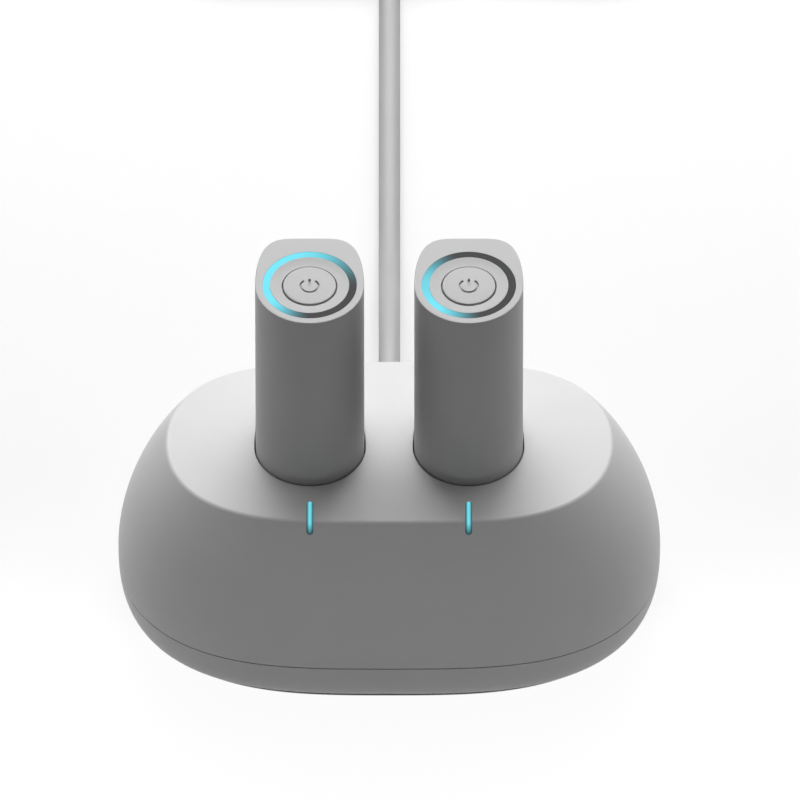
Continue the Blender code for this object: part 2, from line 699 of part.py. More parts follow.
def make_contacts(side, bay):
    """Makes the contact block, its sprung pins and the board that carries it and the bar's lamp."""
    half_x, half_y = WINDOW_LENGTH / 2, WINDOW_WIDTH / 2
    low = (-half_x - BLOCK_MARGIN, -half_y - BLOCK_MARGIN, BLOCK_BOTTOM)
    high = (half_x + BLOCK_MARGIN, half_y + BLOCK_MARGIN, BLOCK_TOP)
    block = box(f"{side}_contact_block", low, high, "black_plastic", bay)
    high = (half_x, half_y, WELL_SEAT - SEAT_GAP)
    join(block, box(f"{side}_tongue", (-half_x, -half_y, BLOCK_BOTTOM), high, parent=bay))
    bore = PIN_RADIUS + PIN_CLEARANCE
    bore_floor = PIN_BOTTOM - PIN_TRAVEL - SEAT_GAP
    cut(block, rods(f"{side}_pin_bores", PIN_PLACES, bore, bore_floor, WELL_SEAT, parent=bay, sides=8))
    profile = [
        (0.0, PIN_LENGTH),
        (PIN_RADIUS * 0.6, PIN_LENGTH - PIN_RADIUS * 0.15),
        (PIN_RADIUS, PIN_LENGTH - PIN_RADIUS * 0.7),
        (PIN_RADIUS, 0.0),
        (0.0, 0.0),
    ]
    for i, (x, y) in enumerate(PIN_PLACES):
        turned(f"{side}_contact_pin_{i + 1}", profile, "gold_plate", bay, (x, y, PIN_BOTTOM), sides=8)
    half_board = CONTACT_BOARD_WIDTH / 2
    low = (-half_board, bar_leg()[0] - CONTACT_BOARD_MARGIN, CONTACT_BOARD_BOTTOM)
    high = (half_board, CONTACT_BOARD_BACK, CONTACT_BOARD_TOP)
    board = box(f"{side}_contact_board", low, high, "board_green", bay)
    root, top = CONTACT_BOARD_BOTTOM + BOARD_THICKNESS / 2, CONTACT_BOARD_TOP + LAMP_HEIGHT
    spots = [(0.0, sum(bar_leg()) / 2)]
    lamp = rods(f"{side}_bar_lamp", spots, LAMP_RADIUS, root, top, parent=bay, sides=8)
    hole = LEG_PIN_RADIUS + SEAT_GAP
    below, above = CONTACT_BOARD_BOTTOM - OVERRUN, CONTACT_BOARD_TOP + OVERRUN
    holes = rods(f"{side}_leg_holes", LEG_PLACES, hole, below, above, parent=bay, sides=8)
    return cut(join(board, lamp), holes)


def make_feet_and_screws():
    """Makes the rubber feet and the cover screws that they hide."""
    names = ("front_left", "front_right", "back_left", "back_right")
    foot_top = FOOT_STAND + FOOT_RECESS - SEAT_GAP
    profile = [
        (0.0, foot_top),
        (FOOT_RADIUS, foot_top),
        (FOOT_RADIUS, FOOT_STAND / 2),
        (FOOT_RADIUS - FOOT_STAND / 2, 0.0),
        (0.0, 0.0),
    ]
    for name, (x, y) in zip(names, FOOT_PLACES):
        turned(f"foot_{name}", profile, "rubber", location=(x, y, 0.0), sides=14)
        make_screw(f"cover_screw_{name}", (x, y, SCREW_SEAT - SEAT_GAP), SCREW_LENGTH)


def make_screw(name, location, length, turned_over=False):
    """Makes a socket screw with its head below its seat, or above it where it is turned over."""
    profile = [
        (0.0, length),
        (SCREW_RADIUS * 0.5, length),
        (SCREW_RADIUS, length - SCREW_RADIUS * 0.5),
        (SCREW_RADIUS, 0.0),
        (SCREW_HEAD_RADIUS, 0.0),
        (SCREW_HEAD_RADIUS, -SCREW_HEAD_HEIGHT),
        (SOCKET_RADIUS, -SCREW_HEAD_HEIGHT),
        (SOCKET_RADIUS, -SCREW_HEAD_HEIGHT / 2),
        (0.0, -SCREW_HEAD_HEIGHT / 2),
    ]
    rotation = (math.pi if turned_over else 0.0, 0.0, 0.0)
    return turned(name, profile, "steel", location=location, rotation=rotation, sides=8)


def make_main_board():
    """Makes the main board with its soldered parts, and the two screws that hold it."""
    half_x, half_y, middle = MAIN_BOARD_LENGTH / 2, MAIN_BOARD_DEPTH / 2, main_board_y()
    low = (-half_x, middle - half_y, MAIN_BOARD_HEIGHT)
    board = box("main_board", low, (half_x, middle + half_y, MAIN_BOARD_TOP), "board_green")
    root = MAIN_BOARD_HEIGHT + BOARD_THICKNESS / 2
    bm = bmesh.new()
    for sign, (length, depth, height) in ((-1, INDUCTOR_SIZE), (1, CONTROLLER_SIZE)):
        x, top = sign * SOLDERED_X, MAIN_BOARD_TOP + height
        add_box(bm, (x - length / 2, middle - depth / 2, root), (x + length / 2, middle + depth / 2, top))
    join(board, place("soldered_parts", bm))
    hole, places = SCREW_RADIUS + SEAT_GAP, board_post_places()
    cut(board, rods("board_holes", places, hole, CAVITY_FLOOR, MAIN_BOARD_TOP + OVERRUN, sides=8))
    for side, (x, y) in zip(("left", "right"), places):
        length = MAIN_BOARD_TOP - CAVITY_FLOOR - SEAT_GAP
        make_screw(f"board_screw_{side}", (x, y, MAIN_BOARD_TOP + SEAT_GAP), length, turned_over=True)
    return board


def make_power_inlet():
    """Makes the power inlet: a block with a round bore for the plug's barrel."""
    face = inlet_face()
    half_x = INLET_WIDTH / 2
    low = (-half_x, face - INLET_DEPTH, INLET_BOTTOM)
    inlet = box("power_inlet", low, (half_x, face, INLET_BOTTOM + INLET_TALL), "black_plastic")
    bore_end = face - BARREL_LENGTH - SEAT_GAP
    return cut(inlet, level_rod("inlet_bore", BARREL_RADIUS + SEAT_GAP, bore_end, face + OVERRUN))


def make_ballast():
    """Makes the steel plate that keeps the dock down when a battery is pulled."""
    bottom = CAVITY_FLOOR + SEAT_GAP
    front = BALLAST_SETBACK - PLATEAU_DEPTH / 2 - SWELL
    back = main_board_y() - MAIN_BOARD_DEPTH / 2 - BALLAST_CLEARANCE
    low, high = (-BALLAST_LENGTH / 2, front, bottom), (BALLAST_LENGTH / 2, back, bottom + BALLAST_HEIGHT)
    plate = box("ballast_plate", low, high, "steel")
    bevel = plate.modifiers.new("edges", "BEVEL")
    bevel.width = BALLAST_EDGE
    bevel.segments = 1
    return plate


def make_wires(side, sign):
    """Makes the wire bundle from the main board up to a contact board."""
    x = sign * BAY_X
    low = (x, main_board_y() - WIRE_SETBACK, MAIN_BOARD_TOP + SEAT_GAP)
    high = (x, BAY_Y + CONTACT_BOARD_BACK - WIRE_RADIUS * 2, CONTACT_BOARD_BOTTOM - SEAT_GAP)
    route = [low, (x, low[1], low[2] + WIRE_RISE), (x, high[1], high[2] - WIRE_RISE), high]
    return tube(f"{side}_wires", smooth(route, WIRE_POINTS), WIRE_RADIUS, "wire_red")


def make_case(side, bay):
    """Makes a battery's case: a D-section shell, open below, with the hole for its light ring."""
    bottom = BATTERY_BOTTOM + END_CAP_RIM + SEAT_GAP
    rings = [battery_ring(bottom), battery_ring(BATTERY_TOP - CASE_EDGE)]
    for turn in spread(0.0, math.pi / 2, 4)[1:]:
        height = BATTERY_TOP - CASE_EDGE * (1.0 - math.sin(turn))
        rings.append(battery_ring(height, CASE_EDGE * (math.cos(turn) - 1.0)))
    case = loft(f"{side}_battery_case", rings, "battery_grey", bay)
    low, ceiling, top = bottom - OVERRUN, BATTERY_TOP - CASE_TOP, BATTERY_TOP + OVERRUN
    hollow = battery_prism(f"{side}_case_hollow", -CASE_WALL, low, ceiling, parent=bay)
    radius = RING_OUTER + RING_CLEARANCE
    hole = rods(f"{side}_ring_hole", [(0.0, 0.0)], radius, WELL_TOP, top, parent=bay, sides=28)
    return cut(case, hollow, hole)


def make_top(side, bay):
    """Makes the top of a battery: light ring, dished bezel, power button, switch and their board."""
    top = BATTERY_TOP
    bottom = top - RING_HEIGHT
    ring = [(RING_INNER, top), (RING_OUTER, top), (RING_OUTER, bottom), (RING_INNER, bottom)]
    turned(f"{side}_light_ring", ring, "light_guide", bay, sides=28)
    skirt_bottom = TOP_BOARD_TOP + SEAT_GAP
    skirt_inner = BEZEL_OUTER - SKIRT_WALL
    bezel = [
        (BEZEL_HOLE, top - DISH_DEPTH),
        ((BEZEL_HOLE + BEZEL_OUTER) / 2, top - DISH_DEPTH * 0.7),
        (BEZEL_OUTER, top),
        (BEZEL_OUTER, skirt_bottom),
        (skirt_inner, skirt_bottom),
        (skirt_inner, BEZEL_UNDERSIDE),
        (BEZEL_HOLE, BEZEL_UNDERSIDE),
    ]
    turned(f"{side}_button_bezel", bezel, "battery_grey", bay, sides=24)
    make_button(side, bay)
    half = SWITCH_SIZE / 2
    low, high = (-half, -half, TOP_BOARD_TOP + SEAT_GAP), (half, half, SWITCH_TOP)
    switch = box(f"{side}_button_switch", low, high, "black_plastic", bay)
    low, socket = SWITCH_TOP - STEM_ENGAGEMENT - BUTTON_TRAVEL - SEAT_GAP, STEM_RADIUS + SEAT_GAP
    cut(switch, rods(f"{side}_switch_socket", [(0.0, 0.0)], socket, low, top, parent=bay, sides=8))
    levels = TOP_BOARD_BOTTOM, TOP_BOARD_TOP
    board = battery_prism(f"{side}_button_board", -CASE_WALL - BOARD_MARGIN, *levels, "board_green", bay)
    middle = RING_INNER + LAMP_RADIUS
    turns = [2 * math.pi * i / RING_LAMPS for i in range(RING_LAMPS)]
    spots = [(middle * math.sin(turn), middle * math.cos(turn)) for turn in turns]
    root, lamp_top = TOP_BOARD_BOTTOM + BOARD_THICKNESS / 2, TOP_BOARD_TOP + LAMP_HEIGHT
    join(board, rods(f"{side}_ring_lamps", spots, LAMP_RADIUS, root, lamp_top, parent=bay, sides=6))


def make_button(side, bay):
    """Makes a power button: a crowned cap with a skirt, a flange that keeps it in and a stem."""
    face = -DISH_DEPTH + BUTTON_RISE
    flange_top = -DISH_DEPTH - BEZEL_THICKNESS - SEAT_GAP
    flange_bottom = flange_top - BUTTON_FLANGE
    ceiling = face - BUTTON_WALL
    stem_bottom = SWITCH_TOP - STEM_ENGAGEMENT - BATTERY_TOP
    profile = [
        (0.0, face),
        (BUTTON_RADIUS * 0.6, face - BUTTON_CROWN * 0.4),
        (BUTTON_RADIUS - BUTTON_EDGE, face - BUTTON_CROWN),
        (BUTTON_RADIUS, face - BUTTON_CROWN - BUTTON_EDGE),
        (BUTTON_RADIUS, flange_top),
        (BUTTON_RADIUS + BUTTON_FLANGE, flange_top),
        (BUTTON_RADIUS + BUTTON_FLANGE, flange_bottom),
        (BUTTON_RADIUS - BUTTON_WALL, flange_bottom),
        (BUTTON_RADIUS - BUTTON_WALL, ceiling),
        (STEM_RADIUS, ceiling),
        (STEM_RADIUS, stem_bottom),
        (0.0, stem_bottom),
    ]
    return turned(f"{side}_power_button", profile, "battery_grey", bay, (0.0, 0.0, BATTERY_TOP), sides=20)


def make_battery_core(side, bay):
    """Makes what a battery holds: the cell, its holder and its protection board."""
    turned(
        f"{side}_cell",
        [(0.0, CELL_LENGTH), (CELL_RADIUS, CELL_LENGTH), (CELL_RADIUS, 0.0), (0.0, 0.0)],
        "cell_wrap",
        bay,
        (0.0, CELL_Y, CELL_BOTTOM),
        sides=20,
    )
    spine_front = CELL_Y + CELL_RADIUS + SEAT_GAP
    spine_back = spine_front + HOLDER_SPINE
    half_spine = SPINE_WIDTH / 2
    low = (-half_spine, spine_front, HOLDER_BOTTOM)
    holder = box(f"{side}_cell_holder", low, (half_spine, spine_back, HOLDER_TOP), "black_plastic", bay)
    grow = -CASE_WALL - BOARD_MARGIN
    for plate, base in (("lower", HOLDER_BOTTOM), ("upper", HOLDER_TOP - HOLDER_PLATE)):
        join(holder, battery_prism(f"{side}_{plate}_plate", grow, base, base + HOLDER_PLATE, parent=bay))
    half_board = PROTECTION_WIDTH / 2
    middle = CELL_BOTTOM + CELL_LENGTH / 2
    front = spine_back + SEAT_GAP
    back = front + PROTECTION_BOARD
    low = (-half_board, front, middle - PROTECTION_LENGTH / 2)
    high = (half_board, back, middle + PROTECTION_LENGTH / 2)
    board = box(f"{side}_protection_board", low, high, "board_green", bay)
    bm = bmesh.new()
    for step in (-1, 0, 1):
        z = middle + step * PROTECTION_LENGTH / 4
        half = CHIP_SIZE / 2
        add_box(bm, (-half, (front + back) / 2, z - half), (half, back + CHIP_HEIGHT, z + half))
    join(board, place(f"{side}_chips", bm, parent=bay))


def make_end_cap(side, bay):
    """Makes the cap that closes a battery's bottom, and the board whose gold pads meet the contact pins."""
    bottom = BATTERY_BOTTOM
    rings = [
        battery_ring(bottom, -END_CAP_CHAMFER),
        battery_ring(bottom + END_CAP_CHAMFER),
        battery_ring(bottom + END_CAP_RIM),
        battery_ring(bottom + END_CAP_RIM, -CASE_WALL - SEAT_GAP),
        battery_ring(bottom + END_CAP_THICKNESS, -CASE_WALL - SEAT_GAP),
    ]
    cap = loft(f"{side}_end_cap", rings, "battery_grey", bay)
    half_x, half_y = WINDOW_LENGTH / 2 + BLOCK_MARGIN, WINDOW_WIDTH / 2 + BLOCK_MARGIN
    seat = bottom + PAD_SETBACK
    low = (-half_x - SEAT_GAP, -half_y - SEAT_GAP, seat)
    high = (half_x + SEAT_GAP, half_y + SEAT_GAP, bottom + OVERRUN)
    pocket = box(f"{side}_pad_pocket", low, high, parent=bay)
    cut(cap, pocket, window(f"{side}_cap_window", bay, bottom - OVERRUN, seat + PAD_BOARD))
    board_bottom = seat + SEAT_GAP
    low = (-half_x, -half_y, board_bottom)
    pads = box(f"{side}_contact_pads", low, (half_x, half_y, board_bottom + PAD_BOARD), "gold_plate", bay)
    root = board_bottom + PAD_BOARD / 2
    return join(pads, rods(f"{side}_pad_faces", PIN_PLACES, PAD_RADIUS, bottom, root, parent=bay, sides=8))


def plug_profile():
    """Returns a plug's profile about its own axis: barrel on top, then neck, body and ribbed relief."""
    neck = -BARREL_LENGTH
    body = neck - neck_length()
    relief = body - PLUG_BODY
    tip = relief - RELIEF_LENGTH
    profile = [
        (0.0, 0.0),
        (BARREL_RADIUS * 0.85, 0.0),
        (BARREL_RADIUS, -BARREL_RADIUS * 0.3),
        (BARREL_RADIUS, neck),
        (NECK_RADIUS, neck),
        (NECK_RADIUS, body),
        (PLUG_RADIUS - PLUG_EDGE, body),
        (PLUG_RADIUS, body - PLUG_EDGE),
        (PLUG_RADIUS, relief + PLUG_EDGE * 2),
        (RELIEF_ROOT, relief),
    ]
    pitch = RELIEF_LENGTH / (RELIEF_RIBS + 0.5)
    for i in range(RELIEF_RIBS):
        top = relief - pitch * (i + 0.5)
        radius = RELIEF_ROOT + (RELIEF_TIP - RELIEF_ROOT) * (relief - top) / RELIEF_LENGTH
        groove, bottom = radius - RIB_DEPTH, top - pitch / 2
        profile += [(radius, top), (groove, top), (groove, bottom), (radius, bottom)]
    return profile + [(RELIEF_TIP, tip), (0.0, tip)]


def make_plugs():
    """Makes the plug in the dock's inlet and the one on the lead's far end."""
    inserted = (0.0, inlet_face() - BARREL_LENGTH, INLET_AXIS)
    turned("lead_plug", plug_profile(), "cord_grey", None, inserted, (math.pi / 2, 0.0, 0.0), 12)
    x, y, z = TAIL_ROUTE[-1]
    laid = (x + SEAT_GAP + BARREL_LENGTH + neck_length() + PLUG_BODY + RELIEF_LENGTH, y, z)
    turned("supply_plug", plug_profile(), "cord_grey", None, laid, (0.0, math.pi / 2, 0.0), 12)


def make_lead():
    """Makes the lead's straight stretch, its coil, the tie round the coil and the tail to the far plug."""
    tube("lead_cord", smooth(CORD_ROUTE, CORD_POINTS), CORD_RADIUS, "cord_grey")
    tube("cord_tail", smooth(TAIL_ROUTE, TAIL_POINTS), CORD_RADIUS, "cord_grey")
    edge = CORD_RADIUS * 0.6
    profile = [
        (COIL_OUTER - edge, COIL_TOP),
        (COIL_OUTER, COIL_TOP - edge),
        (COIL_OUTER, edge),
        (COIL_OUTER - edge, 0.0),
        (COIL_INNER + edge, 0.0),
        (COIL_INNER, edge),
        (COIL_INNER, COIL_TOP - edge),
        (COIL_INNER + edge, COIL_TOP),
    ]
    coil = turned("lead_coil", profile, "cord_grey", location=(*COIL_CENTRE, 0.0), sides=24)
    tie_band("coil_tie", 0.0, "rubber")
    cut(coil, tie_band("tie_clearance", SEAT_GAP))


def tie_band(name, grow, look=None):
    """Makes the flat band round the coil's bundle, or the clearance that it needs."""
    x, y = COIL_CENTRE
    half = TIE_WIDTH / 2 + grow
    inset = TIE_THICKNESS - TIE_STAND + grow
    near, far = y + COIL_INNER, y + COIL_OUTER
    outer_low = (x - half, near - TIE_STAND - grow, -grow)
    outer_high = (x + half, far + TIE_STAND + grow, COIL_TOP + TIE_STAND + grow)
    band = box(name, outer_low, outer_high, look)
    inner_low = (x - half - OVERRUN, near + inset, TIE_THICKNESS + grow)
    inner_high = (x + half + OVERRUN, far - inset, COIL_TOP - inset)
    return cut(band, box(f"{name}_inside", inner_low, inner_high))


def main():
    """Makes the dock, its two batteries and its lead."""
    bays = [
        ("left", empty("left_bay", (-BAY_X, BAY_Y, 0.0))),
        ("right", empty("right_bay", (BAY_X, BAY_Y, 0.0))),
    ]
    make_upper_shell(bays)
    make_bottom_cover()
    make_feet_and_screws()
    make_main_board()
    make_power_inlet()
    make_ballast()
    make_plugs()
    make_lead()
    for side, bay in bays:
        make_light_bar(side, bay)
        make_well(side, bay)
        make_contacts(side, bay)
        make_case(side, bay)
        make_top(side, bay)
        make_battery_core(side, bay)
        make_end_cap(side, bay)
    make_wires("left", -1)
    make_wires("right", 1)


main()
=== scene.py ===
from math import copysign, cos, exp, pi, radians, sin, sqrt, tan

import bmesh
import bpy
from mathutils import Matrix, Vector


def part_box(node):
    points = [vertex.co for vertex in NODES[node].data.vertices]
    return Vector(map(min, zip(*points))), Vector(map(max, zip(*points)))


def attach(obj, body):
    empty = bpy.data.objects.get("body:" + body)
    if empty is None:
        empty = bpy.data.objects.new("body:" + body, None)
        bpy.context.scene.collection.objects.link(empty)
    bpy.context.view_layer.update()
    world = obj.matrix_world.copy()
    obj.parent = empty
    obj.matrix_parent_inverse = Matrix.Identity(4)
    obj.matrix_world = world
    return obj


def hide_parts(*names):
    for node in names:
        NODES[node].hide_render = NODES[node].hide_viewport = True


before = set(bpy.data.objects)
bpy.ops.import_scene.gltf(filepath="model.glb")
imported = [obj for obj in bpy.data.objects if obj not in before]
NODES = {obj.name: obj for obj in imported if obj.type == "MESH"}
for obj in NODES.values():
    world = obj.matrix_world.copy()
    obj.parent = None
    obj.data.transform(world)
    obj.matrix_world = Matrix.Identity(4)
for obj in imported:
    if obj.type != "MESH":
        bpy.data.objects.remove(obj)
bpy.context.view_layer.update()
SIDES = ("left", "right")
CORNERS = ("front_left", "front_right", "back_left", "back_right")

# Housing wall, as the named inputs of its node tree, with lengths in metres
HOUSING = {
    "Plateau Length": 0.1248,
    "Plateau Depth": 0.0634,
    "Plateau Height": 0.064,
    "Swell": 0.0136,
    "Swell Height": 0.0238,
    "Undercut": 0.0048,
    "Low End Squareness": 3.1,
    "High End Squareness": 3.77,
    "Low Side Squareness": 2.13,
    "High Side Squareness": 2.11,
    "Wall Roundness": 1.71,
    "Wall Arc": 0.51,
    "Belly Roundness": 2.7,
}
BASE_HEIGHT = HOUSING["Plateau Height"]
PLATEAU_EDGE = 0.0007
SEAM_EDGE = 0.00012
BASE_EDGE = 0.0004
INNER_EDGE = 0.0003
EDGE_RINGS = 6
WALL = 0.0026
SEAT_GAP = 0.0003
LIP_INSET = 0.0011
LIP_HEIGHT = 0.0020
OVERRUN = 0.004
COVER_TOP = 0.01905
SHELL_BOTTOM = 0.01935
FOOT_STAND = 0.0009
CAVITY_TOP = BASE_HEIGHT - WALL
CAVITY_FLOOR = FOOT_STAND + WALL
OUTER_SIDES = 240
INNER_SIDES = 96

# Posts, stakes, holes and feet
POST_RADIUS = 0.0034
COVER_POST_RADIUS = 0.0044
SCREW_HOLE = 0.0016
PILOT_TOP = 0.0285
STAKE_RADIUS = 0.0011
STAKE_BOTTOM = 0.0582
EAR_REACH = 0.0191
EAR_ANGLE = radians(40)
BACK_EAR = 0.0224
FOOT_RADIUS = 0.0058
FOOT_TOP = 0.0019
FOOT_EDGE = 0.00045
FOOT_RECESS = 0.0022
FOOT_DISH = 0.0002
FOOT_DISH_OUTER = 0.6
FOOT_DISH_INNER = 0.55
COUNTERBORE_RADIUS = 0.0031
COUNTERBORE_TOP = 0.0102
BOARD_POST_RADIUS = 0.0026
BOARD_POST_INSET = 0.0038
HOLE_START = 0.06

# Bays, batteries and their tops
MOUTH_CLEARANCE = 0.00035
MOUTH_EDGE = 0.00022
MOUTH_CROSSING = radians(76)
BACK_SQUARENESS = 5.0
CASE_WALL = 0.0016
CASE_TOP = 0.0020
CASE_EDGE = 0.0003
CASE_HEM = 0.0005
RING_OUTER = 0.01308
RING_INNER = 0.0111
RING_CLEARANCE = 0.00005
RING_EDGE = 0.00006
HOLE_EDGE = 0.00005
HOLE_CROSSING = radians(70)
BEZEL_HOLE = 0.00772
BEZEL_EDGE = 0.00015
DISH_DEPTH = 0.0005
DISH_CURVE = 1.5
SKIRT_WALL = 0.0014
BEZEL_THICKNESS = 0.0015
BUTTON_RADIUS = 0.00738
BUTTON_EDGE = 0.0003
BUTTON_CROWN = 0.0002
BUTTON_WALL = 0.0012
BUTTON_FLANGE = 0.0008
STEM_RADIUS = 0.0016

# The power mark sunk into each button
MARK_RADIUS = 0.00250
MARK_STROKE = 0.00064
MARK_DEPTH = 0.00065
MARK_STEM = 0.0027
MARK_GAP = radians(38)
MARK_AHEAD = 0.0003

# Light bars
BAR_HALF = 0.00092
BAR_ON_TOP = 0.0077
BAR_DROP = 0.0033
BAR_STAND = 0.00003
BAR_CROWN = 0.00005
BAR_CLEARANCE = 0.00004
BAR_LEG_HALF = 0.0005
BAR_LEG_FRONT = 0.0010
BAR_LEG_BACK = 0.0030

# Lead, plugs and tie; the coil's angles are in degrees
CORD_RADIUS = 0.00305
ROUTE_STEP = 0.004
TAIL_STEP = 0.003
CORD_ROUTE = [
    (0.0, 0.0809, 0.01310), (0.0, 0.0920, 0.01300), (0.0, 0.1080, 0.01060), (0.0, 0.1240, 0.00610),
    (0.0, 0.1400, 0.00360), (0.0, 0.1560, 0.00312), (0.0, 0.1940, 0.00310), (0.0, 0.2320, 0.00310),
    (0.0, 0.2665, 0.00310),
]
TAIL_ROUTE = [
    (-0.0162, 0.2509, 0.00950), (-0.0040, 0.2509, 0.00980), (0.0060, 0.2509, 0.00940),
    (0.0150, 0.2509, 0.00700), (0.0220, 0.2509, 0.00545), (0.0280, 0.2509, 0.00540),
]
COIL_CENTRE = (-0.0391, 0.2900)
COIL_RADII = (0.0391, 0.0330, 0.0269)
COIL_FLOOR = 0.0031
COIL_PITCH = 0.0063
COIL_RISE = (930, 1050)
COIL_STEP = 6
COIL_END = 2070
CROSSOVER = 60
CROSSES_IN = (290, 650)
CROSSES_OUT = (1370, 1730)
TIE_THICKNESS = 0.0006
TIE_HALF = 0.0040
TIE_CORNER = 0.0034
TIE_TURN = 90
TIE_SPREAD = 14
BARREL_RADIUS = 0.00275
BARREL_BORE = 0.0011
BARREL_LENGTH = 0.0095
BARREL_FLOOR = 0.001
BARREL_ROUND = 0.0006
BORE_ROUND = 0.0002
NECK_RADIUS = 0.0041
NECK_ROUND = 0.0003
PLUG_RADIUS = 0.0052
PLUG_BODY = 0.0110
PLUG_EDGE = 0.0012
RELIEF_LENGTH = 0.0240
RELIEF_ROOT = 0.0046
RELIEF_TIP = 0.0036
ROOT_ROUND = 0.0004
RIB_COUNT = 6
RIB_WIDTH = 0.0021
RIB_DEPTH = 0.0005
RIB_START = 0.75
RIB_MARGIN = 0.5

# Finishes: linear colours, gloss and light; a stop is a share of a turn and its light
HOUSING_GREY = (0.69, 0.69, 0.69)
BATTERY_GREY = (0.445, 0.445, 0.448)
LEAD_GREY = (0.43, 0.43, 0.43)
WIRE_RED = (0.42, 0.035, 0.028)
GLOSS_SPREAD = 0.05
MOTTLE_SCALE = 60.0
TINT_SPAN = (0.3, 0.7)
GUIDE_DARK = (0.022, 0.023, 0.024)
GUIDE_GLOSS = 0.12
RING_LIGHT = (0.14, 0.83, 1.0)
RING_STRENGTH = 0.90
RING_STOPS = {
    "left": ((0.0, 1.0), (0.075, 1.0), (0.255, 0.0), (0.48, 0.0), (0.81, 1.0), (1.0, 1.0)),
    "right": ((0.0, 0.84), (0.12, 1.0), (0.30, 0.0), (0.79, 0.0), (1.0, 0.84)),
}
BAR_DARK = (0.06, 0.10, 0.11)
BAR_LIGHT = (0.17, 0.74, 0.86)
BAR_LEVELS = (0.95, 0.18)
BAR_CORE = (0.00015, 0.0008)
BAR_FADE_TOP = 0.0004

# Lamps: place, target, width, height and watts
LAMPS = {
    "back_high": ((0.0, 0.42, 0.95), (0.0, 0.0, 0.06), 0.60, 0.50, 3.0),
    "back_key": ((0.0, 0.62, 0.70), (0.0, 0.0, 0.06), 0.80, 0.50, 4.7),
    "overhead": ((0.0, 0.15, 1.00), (0.0, 0.0, 0.06), 1.60, 1.20, 1.7),
    "left_high": ((-0.60, 0.45, 0.65), (0.0, 0.0, 0.06), 0.40, 0.40, 1.0),
    "right_high": ((0.60, 0.45, 0.65), (0.0, 0.0, 0.06), 0.40, 0.40, 1.2),
    "left_side": ((-0.85, 0.15, 0.35), (0.0, 0.0, 0.05), 0.30, 0.60, 0.7),
    "right_side": ((0.85, 0.15, 0.35), (0.0, 0.0, 0.05), 0.30, 0.60, 0.7),
    "front_low": ((0.0, -0.30, 0.015), (0.0, -0.04, 0.03), 0.50, 0.02, 0.085),
    "front_high": ((0.0, -0.30, 0.085), (0.0, -0.02, 0.07), 0.50, 0.02, 0.035),
}

# Camera: the point it looks at, the width it sees there, its tilt, and its lens and sensor in mm
VIEW_CENTRE = (0.00300, 0.01635, 0.06412)
VIEW_WIDTH = 0.224
VIEW_TILT = radians(45)
LENS = 1500.0
SENSOR = 36.0

# The floor as it is seen, ahead of the housing and behind it: share that takes shadows, share that glows
FLOOR_AHEAD = (0.08, 0.96)
FLOOR_BEHIND = (0.55, 0.40)
FLOOR_TURNS = (-0.02, 0.06)
FLOOR_WHITENS = (0.16, 0.40)
FLOOR_HALF = 4.0
FLOOR_BOUNCE = (0.40, 0.40, 0.40, 1.0)
# Painted shadow round the housing's foot: inside its outline grown by a reach, with a soft edge, the floor's
# glow is dimmed by a share
PAINTED_SHADOW_REACH = 0.0021
PAINTED_SHADOW_BLUR = 0.0004
PAINTED_SHADOW_DEPTH = 0.96


def spread(start, end, count):
    """Returns evenly spaced values from start to end, both included."""
    return [start + (end - start) * i / (count - 1) for i in range(count)]


class Figure:
    """A number in a node tree that takes part in plain sums."""

    def __init__(self, tree, socket):
        self.tree = tree
        self.socket = socket

    def combine(self, operation, *values):
        """Returns a Math node's result on the values, which are figures or plain numbers."""
        node = self.tree.nodes.new("ShaderNodeMath")
        node.operation = operation
        for target, value in zip(node.inputs, values):
            if isinstance(value, Figure):
                self.tree.links.new(value.socket, target)
            else:
                target.default_value = value
        return Figure(self.tree, node.outputs[0])

    def __add__(self, other):
        return self.combine("ADD", self, other)

    def __sub__(self, other):
        return self.combine("SUBTRACT", self, other)

    def __rsub__(self, other):
        return self.combine("SUBTRACT", other, self)

    def __mul__(self, other):
        return self.combine("MULTIPLY", self, other)

    def __rmul__(self, other):
        return self.combine("MULTIPLY", other, self)

    def __truediv__(self, other):
        return self.combine("DIVIDE", self, other)

    def __rtruediv__(self, other):
        return self.combine("DIVIDE", other, self)

    def __pow__(self, other):
        return self.combine("POWER", self, other)

    def __abs__(self):
        return self.combine("ABSOLUTE", self)


def limited(value):
    """Keeps a number, or a figure in a node tree, between 0 and 1."""
    if isinstance(value, Figure):
        return value.combine("MINIMUM", value.combine("MAXIMUM", value, 0.0), 1.0)
    return min(max(value, 0.0), 1.0)


def arc_drop(share, roundness):
    """Returns how far a superellipse has dropped at a share of its width."""
    return 1.0 - (1.0 - share**roundness) ** (1.0 / roundness)


def wall_offset(size, height):
    """Returns how far the housing stands out beyond the plateau's outline at a height."""
    above = limited((height - size["Swell Height"]) / (size["Plateau Height"] - size["Swell Height"]))
    below = limited((size["Swell Height"] - height) / size["Swell Height"])
    arc = size["Wall Arc"]
    lean = arc_drop(above * arc, size["Wall Roundness"]) / arc_drop(arc, size["Wall Roundness"])
    tuck = (size["Swell"] + size["Undercut"]) * arc_drop(below, size["Belly Roundness"])
    return size["Swell"] * (1.0 - lean) - tuck


def outline_depth(size, height, reach, x):
    """Returns the half depth, at a distance from the middle, of an outline beyond the plateau's."""
    rise = height / size["Plateau Height"]
    low_ends, low_sides = size["Low End Squareness"], size["Low Side Squareness"]
    ends = low_ends + (size["High End Squareness"] - low_ends) * rise
    sides = low_sides + (size["High Side Squareness"] - low_sides) * rise
    share = limited(abs(x) / (size["Plateau Length"] / 2 + reach))
    return (size["Plateau Depth"] / 2 + reach) * (1.0 - share**ends) ** (1.0 / sides)


